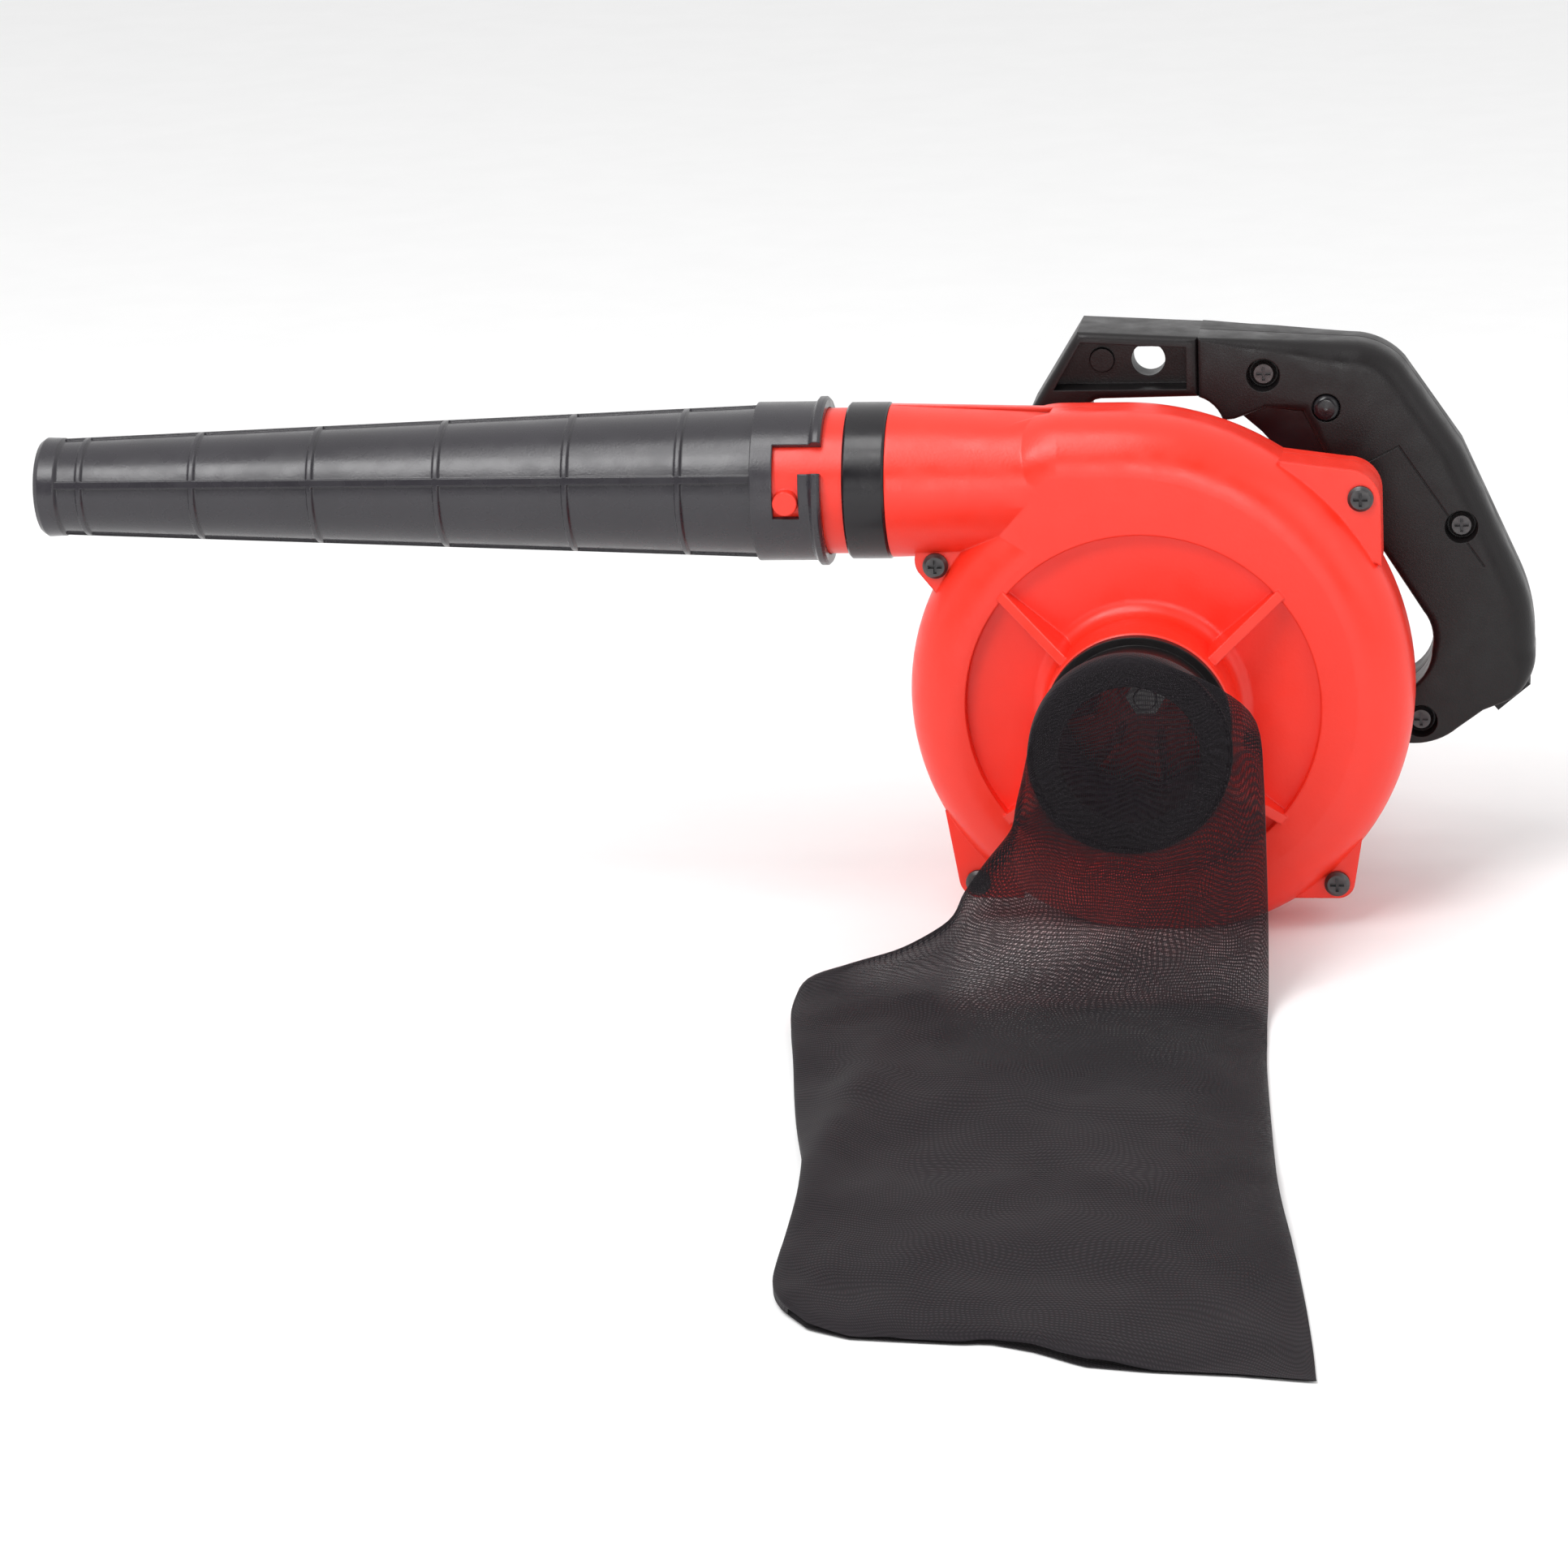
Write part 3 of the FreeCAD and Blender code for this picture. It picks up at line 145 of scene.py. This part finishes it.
def slab(name, path, low, high, low_round, high_round, step=2.0):
    """A plate between two Y planes with rounded rims. A rim's radius may be a function of the point."""
    points = along_path(path, step)

    def radii(rounding):
        return [rounding(p) if callable(rounding) else rounding for p in points]

    rings = []
    for y, rounding, sign in ((low, radii(low_round), 1), (high, radii(high_round), -1)):
        rim = []
        for k in range(7):
            angle = math.pi / 2 * k / 6
            flat = inset(points, [r * (1 - math.sin(angle)) for r in rounding])
            rim.append([(p.x, y + sign * r * (1 - math.cos(angle)), p.y + AXIS)
                        for p, r in zip(flat, rounding)])
        rings += rim if sign > 0 else reversed(rim)
    return loft(name, rings)


def prism(path, low, high):
    """A straight-sided cutter between two Y planes."""
    points = along_path(path, 1.0)
    return loft("cutter", [[(p.x, y, p.y + AXIS) for p in points] for y in (low, high)])


def disc(x, z, radius, low, high, count=40, top=None, flat=100.0):
    """A round cutter along Y. It may change its radius on the way, and its upper side may be flat."""
    rings = []
    for y, r in ((low, radius), (high, top or radius)):
        rings.append([(x + r * math.cos(a), y, z + AXIS + min(r * math.sin(a), flat))
                      for a in (2 * math.pi * k / count for k in range(count))])
    return loft("cutter", rings)


def line_cutter(points, width, low, high):
    """A thin cutter between two Y planes along each stretch of a line."""
    cutters = []
    for start, end in zip(points, points[1:]):
        start, end = Vector(start), Vector(end)
        along = (end - start).normalized() * width / 2
        side = Vector((-along.y, along.x))
        corners = [start - along - side, end + along - side, end + along + side, start - along + side]
        cutters.append(prism([tuple(c) for c in corners], low, high))
    return cutters


# ---- materials -----------------------------------------------------------------------------------

def graph(name):
    material = bpy.data.materials.new(name)
    material.use_nodes = True
    return material, material.node_tree.nodes, material.node_tree.links


def add(nodes, links, kind, inputs=(), **settings):
    """A shader node with its settings, and its sockets linked or set."""
    node = nodes.new("ShaderNode" + kind)
    for key, value in settings.items():
        setattr(node, key, value)
    for socket, value in dict(inputs).items():
        if isinstance(value, bpy.types.NodeSocket):
            links.new(value, node.inputs[socket])
        else:
            node.inputs[socket].default_value = value
    return node


def moulded(name, color, rough=0.35, metal=0.0, grain=1400.0, depth=0.05, spread=0.12, wear=0.0,
            worn=(0.3, 0.3, 0.3), stretch=(1, 1, 1), specular=0.5, soft=0.0):
    """Moulded plastic or plain metal: fine grain, uneven gloss and colour, and edges that are rubbed."""
    material, nodes, links = graph(name)
    shader = nodes["Principled BSDF"]
    place = add(nodes, links, "TexCoord").outputs["Object"]
    stretched = add(nodes, links, "Mapping", {"Vector": place, "Scale": stretch}).outputs[0]
    fine = add(nodes, links, "TexNoise", {"Vector": stretched, "Scale": grain, "Detail": 3.0}).outputs[0]
    broad = add(nodes, links, "TexNoise", {"Vector": place, "Scale": 22.0, "Detail": 4.0,
                                           "Roughness": 0.6}).outputs[0]
    streak = add(nodes, links, "TexNoise", {"Vector": stretched, "Scale": 130.0, "Detail": 5.0}).outputs[0]
    shade = add(nodes, links, "MapRange", {"Value": broad, "From Min": 0.3, "From Max": 0.7,
                                           "To Min": 1 - spread, "To Max": 1 + spread}).outputs[0]
    tint = add(nodes, links, "MixRGB", {"Fac": 1.0, "Color1": (*color, 1), "Color2": shade},
               blend_type="MULTIPLY").outputs[0]
    if wear:
        point = add(nodes, links, "NewGeometry").outputs["Pointiness"]
        rub = add(nodes, links, "MapRange", {"Value": point, "From Min": 0.53, "From Max": 0.62,
                                             "To Max": wear}).outputs[0]
        patchy = add(nodes, links, "Math", {0: rub, 1: streak}, operation="MULTIPLY").outputs[0]
        tint = add(nodes, links, "MixRGB", {"Fac": patchy, "Color1": tint, "Color2": (*worn, 1)}).outputs[0]
    links.new(tint, shader.inputs["Base Color"])
    gloss = add(nodes, links, "MapRange", {"Value": streak, "From Min": 0.3, "From Max": 0.7,
                                           "To Min": rough * 0.82, "To Max": rough * 1.22}).outputs[0]
    links.new(gloss, shader.inputs["Roughness"])
    bump = add(nodes, links, "Bump", {"Height": fine, "Strength": depth, "Distance": 0.0004})
    if soft:
        rounded = add(nodes, links, "Bevel", {"Radius": soft * MM}, samples=6)
        links.new(rounded.outputs[0], bump.inputs["Normal"])
    links.new(bump.outputs[0], shader.inputs["Normal"])
    shader.inputs["Metallic"].default_value = metal
    shader.inputs["Specular IOR Level"].default_value = specular
    return material


def mesh_cloth():
    """Black knitted mesh that is partly seen through, in rows that follow the cloth's own lines."""
    material, nodes, links = graph("knitted_mesh")
    shader = nodes["Principled BSDF"]
    cloth = add(nodes, links, "UVMap", uv_map="cloth").outputs[0]
    drift = add(nodes, links, "TexNoise", {"Vector": cloth, "Scale": 14.0, "Detail": 2.0}).outputs["Color"]
    pull = add(nodes, links, "MixRGB", {"Fac": 0.045, "Color1": cloth, "Color2": drift},
               blend_type="ADD").outputs[0]
    rows = add(nodes, links, "TexWave", {"Vector": pull, "Scale": 200.0, "Distortion": 1.4, "Detail": 2.0,
                                         "Detail Scale": 2.0}, bands_direction="Y").outputs["Fac"]
    wales = add(nodes, links, "TexWave", {"Vector": pull, "Scale": 330.0, "Distortion": 0.6},
                bands_direction="X").outputs["Fac"]
    knots = add(nodes, links, "Math", {0: rows, 1: wales}, operation="MULTIPLY").outputs[0]
    broad = add(nodes, links, "TexNoise", {"Vector": cloth, "Scale": 30.0, "Detail": 4.0}).outputs[0]
    seam = add(nodes, links, "Attribute", attribute_name="seam").outputs["Fac"]
    loose = add(nodes, links, "Attribute", attribute_name="open").outputs["Fac"]
    closed = add(nodes, links, "Math", {0: 1.0, 1: loose}, operation="SUBTRACT").outputs[0]
    gaps = add(nodes, links, "MapRange", {"Value": knots, "From Min": 0.1, "From Max": 0.6, "To Min": 0.86,
                                          "To Max": 0.30}).outputs[0]
    cover = add(nodes, links, "Math", {0: gaps, 1: closed}, operation="MAXIMUM").outputs[0]
    uneven = add(nodes, links, "MapRange", {"Value": broad, "From Min": 0.3, "From Max": 0.7,
                                            "To Min": -0.06, "To Max": 0.06}).outputs[0]
    dense = add(nodes, links, "Math", {0: cover, 1: uneven}, operation="ADD").outputs[0]
    dense = add(nodes, links, "Math", {0: dense, 1: seam}, operation="ADD", use_clamp=True).outputs[0]
    links.new(dense, shader.inputs["Alpha"])
    color = add(nodes, links, "MixRGB", {"Fac": knots, "Color1": (0.009, 0.007, 0.009, 1),
                                         "Color2": (0.022, 0.017, 0.021, 1)}).outputs[0]
    links.new(color, shader.inputs["Base Color"])
    bump = add(nodes, links, "Bump", {"Height": knots, "Strength": 0.4, "Distance": 0.0004})
    links.new(bump.outputs[0], shader.inputs["Normal"])
    shader.inputs["Roughness"].default_value = 0.8
    shader.inputs["Specular IOR Level"].default_value = 0.2
    shader.inputs["Sheen Weight"].default_value = 0.08
    shader.inputs["Sheen Roughness"].default_value = 0.4
    return material


RED = (0.86, 0.028, 0.012)
red = moulded("red_plastic", RED, 0.34, grain=1100.0, depth=0.10, spread=0.05, wear=0.15,
              worn=(0.9, 0.10, 0.06), soft=0.9)
charcoal = moulded("charcoal_plastic", (0.022, 0.020, 0.025), 0.27, grain=1300.0, depth=0.08, spread=0.14,
                   wear=0.25, worn=(0.08, 0.075, 0.085), specular=0.55, soft=0.7)
black = moulded("black_plastic", (0.008, 0.0065, 0.007), 0.40, grain=1500.0, depth=0.16, spread=0.18,
                wear=0.25, worn=(0.04, 0.04, 0.042), specular=0.3, soft=0.5)
glossy = moulded("black_gloss", (0.009, 0.008, 0.010), 0.24, grain=900.0, depth=0.04, spread=0.1, specular=0.4,
                 soft=0.5)
rubber = moulded("black_rubber", (0.013, 0.013, 0.014), 0.62, grain=700.0, depth=0.3, spread=0.2)
dark_steel = moulded("dark_steel", (0.06, 0.058, 0.06), 0.38, 0.85, 500.0, 0.12, 0.25, 0.5,
                     (0.35, 0.34, 0.33))
steel = moulded("ground_steel", (0.52, 0.51, 0.50), 0.28, 1.0, 400.0, 0.08, 0.1, stretch=(1, 14, 1))
iron = moulded("laminated_iron", (0.16, 0.155, 0.15), 0.5, 0.8, 300.0, 0.3, 0.2, stretch=(1, 12, 1))
copper = moulded("enamelled_copper", (0.62, 0.22, 0.09), 0.32, 0.9, 500.0, 0.35, 0.15, stretch=(1, 6, 1))
brass = moulded("drawn_brass", (0.68, 0.48, 0.18), 0.33, 1.0, 300.0, 0.1, 0.12)
carbon = moulded("carbon_block", (0.02, 0.02, 0.02), 0.7, 0.0, 800.0, 0.2, 0.2)
cloth = mesh_cloth()

FINISH = {
    red: ["front_cover", "rear_casing", "motor_housing", "end_cap", "impeller"],
    charcoal: ["nozzle"],
    black: ["handle_base", "handle_cover", "bag_adapter", "switch_body", "capacitor", "brush_caps"],
    glossy: ["neck_band", "trigger", "lock_button"],
    rubber: ["cord_gland", "bag_elastic"],
    dark_steel: ["cover_screws", "motor_screws", "cap_screws", "handle_screws"],
    steel: ["shaft", "front_bearing_unit", "rear_bearing_unit", "impeller_nut", "trigger_spring",
            "lock_spring", "brush_springs"],
    iron: ["stator_core", "armature_core"],
    copper: ["field_windings", "armature_end_windings", "commutator"],
    brass: ["brush_holders"],
    carbon: ["carbon_brushes"],
    cloth: ["dust_bag"],
}
for material, names in FINISH.items():
    for name in names:
        NODES[name].data.materials.clear()
        NODES[name].data.materials.append(material)


# ---- handle --------------------------------------------------------------------------------------

SEAM = 16.5
GRIP = [(SEAM, 111.4), (69, 108.2), (84, 100, -24), (102.6, 72.5), (121.4, 30), (126.6, 4, -60),
        (117.5, -13.6, -16), (109.5, -16.8), (101, -23), (86.4, -28.4, -22), (35, -27.3), (43.6, -7.5, 44.2),
        (78, -11), (92.6, 4, 15), (89.7, 17.3, 16), (70, 49), (58, 71), (50.5, 85.6), (38.6, 87.6),
        (28.2, 83.8), (24.4, 83.4), (SEAM, 91.4, 12)]
BRACKET = [(SEAM, 91.4), (-16, 90.9), (-21, 86, 5), (-16, 41), (-31.5, 31, 44.2), (-39.8, 87), (-23.4, 113.6),
           (SEAM, 111.4)]
RECESS = [(-31.6, 94.2), (-22.3, 110.2), (12.6, 108.2), (12.6, 94.2)]
SLOT = [(28.0, 80.0), (29.4, 83.8), (60.0, 96.6), (71.5, 66.0), (58, 60), (46, 58)]
SCREWS = [(37.9, 98.6), (102.6, 46.6), (88.8, -20.4)]
LOCK = (58.5, 87.4)
PANEL = [(68.6, 67.3), (82.1, 74.3), (110.0, 33.0)]
NEAR, PARTING, FAR = 30.0, 45.0, 60.0


def back_round(point):
    """The grip's rim is rounder at its back than inside its loop."""
    back = max(0.0, min(1.0, (point.x - 70 + (point.y - 40) * 0.45) / 24))
    hook = max(0.0, min(1.0, (point.x - 38 + (point.y - 86) * 0.8) / 14))
    low = max(0.0, min(1.0, (point.y + 12) / 14))
    return 1.2 + 2.6 * hook + 4.6 * back * low


def gland_seat():
    out = Vector((math.sin(math.radians(40)), -math.cos(math.radians(40))))
    side = Vector((out.y, -out.x))
    start = Vector((115.6, -9.4))
    corners = [start - side * 7, start + side * 7, start + side * 7 + out * 20, start - side * 7 + out * 20]
    return [tuple(c) for c in corners]


def make_grip():
    cover = slab("grip_near", GRIP, NEAR, PARTING, back_round, 0.35)
    cutters = [prism(SLOT, PARTING - 6.05, PARTING + 5), prism(gland_seat(), PARTING - 7, PARTING + 5)]
    cutters.append(disc(*LOCK, 4.75, NEAR - 3, PARTING - 2))
    cutters.append(disc(*LOCK, 6.2, NEAR + 2.6, PARTING - 2))
    for x, z in SCREWS:
        cutters.append(disc(x, z, 5.7, NEAR - 1, NEAR + 5, top=4.8))
        cutters.append(disc(x, z, 2.1, NEAR - 1, PARTING + 5))
    cutters += line_cutter(PANEL, 0.5, NEAR - 1, NEAR + 0.3)
    cut(cover, cutters)
    cover.data.materials.append(black)
    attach(cover, "casing")
    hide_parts("handle_cover")

    base = slab("grip_far_and_bracket", GRIP, PARTING, FAR, 0.35, back_round)
    bracket = slab("bracket", BRACKET, NEAR + 0.2, FAR, 2.4, 2.4)
    cutters = [prism(RECESS, NEAR - 5, 40), prism(RECESS, 50, FAR + 5)]
    cutters.append(disc(-0.6, 102.4, 5.6, 35, 55, flat=4.3))
    cut(bracket, cutters)
    cut(bracket, [disc(-16, 102.4, 4, 38.6, 41, top=4.3)], "UNION")
    cut(base, [prism(SLOT, PARTING - 5, PARTING + 6.05), prism(gland_seat(), PARTING - 5, PARTING + 7)])
    join(base, bracket)
    base.data.materials.append(black)
    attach(base, "casing")
    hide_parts("handle_base")


def join(piece, other):
    """Adds another mesh's faces to a piece."""
    bm = bmesh.new()
    bm.from_mesh(piece.data)
    bm.from_mesh(other.data)
    bm.to_mesh(piece.data)
    bm.free()
    bpy.data.objects.remove(other)
    piece.data.set_sharp_from_angle(angle=math.radians(35))


make_grip()


# ---- bag -----------------------------------------------------------------------------------------

# Stations down the bag, in millimetres from the fan's axis: left edge, right edge, then the middle of
# the near layer and of the far layer as (y, z), and how round the section is.
STATIONS = [
    ((-30.6, -67, 0), (30.6, -67, 0), (-67, 30.6), (-67, -30.6), 1.0),
    ((-32.4, -71.5, 0), (32.4, -71.5, 0), (-71.5, 32.4), (-71.5, -32.4), 1.0),
    ((-32.6, -77, -1), (32.8, -77, 1), (-77.6, 32.3), (-77, -32.8), 1.0),
    ((-33.0, -78.4, -6), (36.0, -78.4, 6), (-79.6, 27), (-78, -35), 0.8),
    ((-34.8, -79.2, -13), (41.4, -79.2, 5), (-80.2, 16), (-78.5, -40), 0.7),
    ((-36.6, -80, -20), (42.6, -80, -9), (-80.8, 2), (-79, -46), 0.6),
    ((-38.8, -81, -28), (43.0, -81.5, -23), (-81.6, -13), (-79.5, -53), 0.6),
    ((-47, -82.5, -36), (43.3, -83.5, -37), (-83.5, -29), (-80.5, -60), 0.6),
    ((-53, -86, -43), (43.6, -86.5, -50), (-87, -43), (-83, -67), 0.6),
    ((-58, -91, -51), (43.8, -91, -61), (-92, -54), (-87, -73), 0.6),
    ((-72, -96, -58), (44.0, -97, -69.5), (-99, -62), (-93, -76.5), 0.6),
    ((-88, -100, -62), (44.2, -105, -74), (-108, -67), (-102, -77.4), 0.6),
    ((-102, -104, -66), (44.5, -116, -76), (-120, -69.5), (-114, -77.4), 0.6),
    ((-105.5, -114, -71.5), (45.2, -130, -76.6), (-134, -70.5), (-128, -77.4), 0.55),
    ((-103.5, -132, -75), (46.2, -150, -76.7), (-152, -70.5), (-146, -77.5), 0.5),
    ((-99.5, -156, -76), (48.2, -176, -76.8), (-176, -70.5), (-170, -77.5), 0.5),
    ((-95.5, -182, -76.2), (50.4, -202, -76.8), (-202, -70.5), (-198, -77.5), 0.5),
    ((-90.5, -212, -76.3), (52.8, -229, -76.8), (-229, -71), (-226, -77.5), 0.5),
    ((-84.5, -243, -76.4), (55.4, -255, -76.8), (-256, -71.5), (-254, -77.5), 0.5),
    ((-81.6, -274, -76.5), (59.2, -282, -76.8), (-284, -72), (-282, -77.5), 0.5),
    ((-81.0, -304, -76.5), (63.8, -308, -76.8), (-312, -72.5), (-310, -77.5), 0.5),
    ((-80.6, -326, -76.6), (68.2, -336, -76.8), (-337, -73.5), (-335, -77.5), 0.5),
    ((-78.0, -340, -76.7), (71.0, -360, -76.9), (-357, -74.5), (-355, -77.5), 0.5),
    ((-73.5, -350, -76.8), (72.2, -388, -76.9), (-372, -76.4), (-371, -77.5), 0.5),
]
HEM = [(-81, -335), (-75.5, -347), (-67, -358.5), (-55, -364.5), (-24, -367), (-17, -366), (-4, -371),
       (10, -380), (28, -383), (51, -384.5), (73, -388)]
ROUND = 120      # points round the bag
BETWEEN = 5      # rings from one station to the next
WIDTH = 0.16     # the flat bag's width in the cloth's own coordinates, in metres


def curve_at(values, t):
    """A smooth curve through equally spaced values, which may be numbers or vectors."""
    last = len(values) - 1
    index = min(int(t), last - 1)
    u = t - index
    p0, p1 = values[max(index - 1, 0)], values[index]
    p2, p3 = values[index + 1], values[min(index + 2, last)]
    return 0.5 * (2 * p1 + (p2 - p0) * u + (2 * p0 - 5 * p1 + 4 * p2 - p3) * u * u
                  + (3 * p1 - p0 - 3 * p2 + p3) * u ** 3)


def hem_y(x):
    for (x0, y0), (x1, y1) in zip(HEM, HEM[1:]):
        if x <= x1:
            return y0 + (y1 - y0) * max(0.0, (x - x0) / (x1 - x0))
    return HEM[-1][1]


def bag_ring(t):
    left = curve_at([Vector(s[0]) for s in STATIONS], t)
    right = curve_at([Vector(s[1]) for s in STATIONS], t)
    near = curve_at([Vector((0, *s[2])) for s in STATIONS], t)
    far = curve_at([Vector((0, *s[3])) for s in STATIONS], t)
    power = curve_at([s[4] for s in STATIONS], t)
    middle, half = (left + right) / 2, (right - left) / 2
    near.x = far.x = middle.x
    late = max(0.0, (t - (len(STATIONS) - 5)) / 4)
    ring = []
    for k in range(ROUND):
        angle = 2 * math.pi * k / ROUND
        rise = abs(math.sin(angle)) ** power
        toward = near if math.sin(angle) >= 0 else far
        point = middle + half * math.cos(angle) + (toward - middle) * rise
        point.y += (hem_y(point.x) - point.y) * late ** 2
        ring.append(point)
    return ring


def drape(point, near, t):
    """Folds and slack: long soft waves on the ground and pleats below the flange."""
    lying = max(0.0, min(1.0, (t - 9) / 4))
    place = Vector((point.x * 0.022, point.y * 0.014, point.z * 0.02 + (0 if near else 7)))
    wave = noise.noise(place) * 2.6 + noise.noise(place * 2.7) * 1.0 + noise.noise(place * 6.5) * 0.35
    if lying and near:
        point.z += lying * max(-3.2, wave) * 1.0
        fold = math.exp(-((point.x + 78 - (point.y + 250) * 0.05) / 9) ** 2)
        point.z += 4.5 * lying * fold * math.exp(-((point.y + 225) / 80) ** 2)
    hanging = math.exp(-((t - 7) / 2.6) ** 2)
    if near:
        pleat = math.sin(point.x * 0.23 + 0.9 * math.sin(point.z * 0.05) + 0.6)
        point.y -= hanging * (1.2 + 1.3 * pleat + wave * 0.5)
    return point


def openness(point, t):
    """How far the knit is pulled open: most where it hangs, and least where it lies in layers. Left of x = -48
    it is closed up further as painted shade, so that the cloth comes out darker there.
    """
    x, y, z = point
    across = Vector((x * 0.02, y * 0.012, z * 0.02))
    patch = 0.5 + 1.1 * noise.noise(across * 1.9 + Vector((3, 1, 7)))
    hanging = max(0.0, min(1.0, (t - 2.0) / 1.5)) * max(0.0, min(1.0, (15.5 - t) / 4))
    right = max(0.0, min(1.0, (x - 20) / 26)) * max(0.0, min(1.0, (21 - t) / 4))
    # painted shade: left of x = -48 the knit is made denser so that the cloth comes out darker there
    painted_shade = 1 - 0.85 * max(0.0, min(1.0, (-48 - x) / 12)) * (0.5 + patch)
    return max(0.06, min(1.0, max(hanging, 0.75 * right) * painted_shade * (0.55 + 0.6 * patch)))


def make_bag():
    rings, lines = [], []
    last = len(STATIONS) - 1
    for i in range(last * BETWEEN + 1):
        t = i / BETWEEN
        ring = []
        for k, point in enumerate(bag_ring(t)):
            near = 0 < k < ROUND // 2
            point = drape(point, near, t)
            if t > 3:
                point.z = max(point.z, -77.6 if not near else -76.9)
            ring.append((point.x, point.y, point.z + AXIS))
        rings.append(ring)
    bag = loft("bag_cloth", rings, caps=False, smooth=180)
    mesh = bag.data
    uv = mesh.uv_layers.new(name="cloth")
    seam = mesh.attributes.new("seam", "FLOAT", "POINT")
    loose = mesh.attributes.new("open", "FLOAT", "POINT")
    lengths = [0.0]
    for a, b in zip(rings, rings[1:]):
        lengths.append(lengths[-1] + (Vector(a[ROUND // 4]) - Vector(b[ROUND // 4])).length * MM)
    for loop in mesh.loops:
        index = loop.vertex_index
        i, k = divmod(index, ROUND)
        across = abs(((k / ROUND) * 2 + 0.5) % 2 - 1) * WIDTH
        uv.data[loop.index].uv = (across, lengths[i])
    for index in range(len(mesh.vertices)):
        i, k = divmod(index, ROUND)
        side = min(k % (ROUND // 2), ROUND // 2 - k % (ROUND // 2))
        edge = 1.0 if side == 0 else 0.3 if side == 1 else 0.0
        ending = 0.35 if i > last * BETWEEN - 3 else 0.0
        cuff = 0.35 if i < 2 * BETWEEN else 0.0
        seam.data[index].value = max(edge * 0.35 if i > 3 * BETWEEN else 0.0, ending, cuff)
        loose.data[index].value = openness(rings[i][k], i / BETWEEN)
    bag.data.materials.append(cloth)
    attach(bag, "bag")
    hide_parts("dust_bag")


make_bag()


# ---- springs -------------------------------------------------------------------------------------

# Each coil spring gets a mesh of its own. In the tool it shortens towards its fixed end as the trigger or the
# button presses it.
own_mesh(NODES["trigger_spring"])
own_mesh(NODES["lock_spring"])


# ---- stage, light and camera ---------------------------------------------------------------------

def make_stage():
    floor = new_piece("floor", [(-4000, -4000, 0), (4000, -4000, 0), (4000, 4000, 0), (-4000, 4000, 0)],
                      [(0, 1, 2, 3)])
    floor.data.materials.append(moulded("pale_floor", (0.93, 0.93, 0.93), 0.8, grain=60.0, depth=0.0,
                                        spread=0.01))
    world = bpy.data.worlds.new("studio")
    world.use_nodes = True
    nodes, links = world.node_tree.nodes, world.node_tree.links
    way = add(nodes, links, "TexCoord").outputs["Generated"]
    toward = add(nodes, links, "SeparateXYZ", {0: way}).outputs["Y"]
    bright = add(nodes, links, "MapRange", {"Value": toward, "From Min": -0.9, "From Max": -0.1,
                                            "To Min": 0.12, "To Max": 1.0}).outputs[0]
    nodes["Background"].inputs["Color"].default_value = (1, 1, 1, 1)
    links.new(bright, nodes["Background"].inputs["Strength"])
    bpy.context.scene.world = world
    for name, place, aim, size, power in (
        ("key", (-0.9, -1.5, 1.8), (0, 0, 0.1), 1.0, 26),
        ("fill", (1.6, -1.2, 1.0), (0, 0, 0.1), 1.4, 7),
        ("front", (0.1, -2.3, 0.45), (0, 0, 0.08), 0.6, 10),
        ("strip", (-0.3, -0.5, 1.5), (-0.15, 0, 0.1), 0.5, 5),
    ):
        lamp = bpy.data.lights.new(name, "AREA")
        lamp.size = size
        lamp.energy = power
        holder = bpy.data.objects.new(name, lamp)
        holder.location = place
        holder.rotation_euler = (Vector(aim) - Vector(place)).to_track_quat("-Z", "Y").to_euler()
        bpy.context.scene.collection.objects.link(holder)


def make_camera():
    """The photograph's viewing angle: azimuth, elevation and a slight roll."""
    azimuth, elevation, roll = (math.radians(a) for a in (9.019, 16.979, -2.604))
    back = Vector((math.sin(azimuth) * math.cos(elevation), -math.cos(azimuth) * math.cos(elevation),
                   math.sin(elevation)))
    level = Vector((math.cos(azimuth), math.sin(azimuth), 0))
    upward = level.cross(-back)
    right = math.cos(roll) * level + math.sin(roll) * upward
    up = -math.sin(roll) * level + math.cos(roll) * upward
    data = bpy.data.cameras.new("camera")
    data.lens = 117.66
    data.sensor_width = 36.0
    camera = bpy.data.objects.new("camera", data)
    turn = Matrix((right, up, back)).transposed().to_4x4()
    camera.matrix_world = Matrix.Translation((0.1353, -1.6298, 0.5485)) @ turn
    bpy.context.scene.collection.objects.link(camera)
    bpy.context.scene.camera = camera


make_stage()
make_camera()
bpy.context.scene.view_settings.view_transform = "Standard"
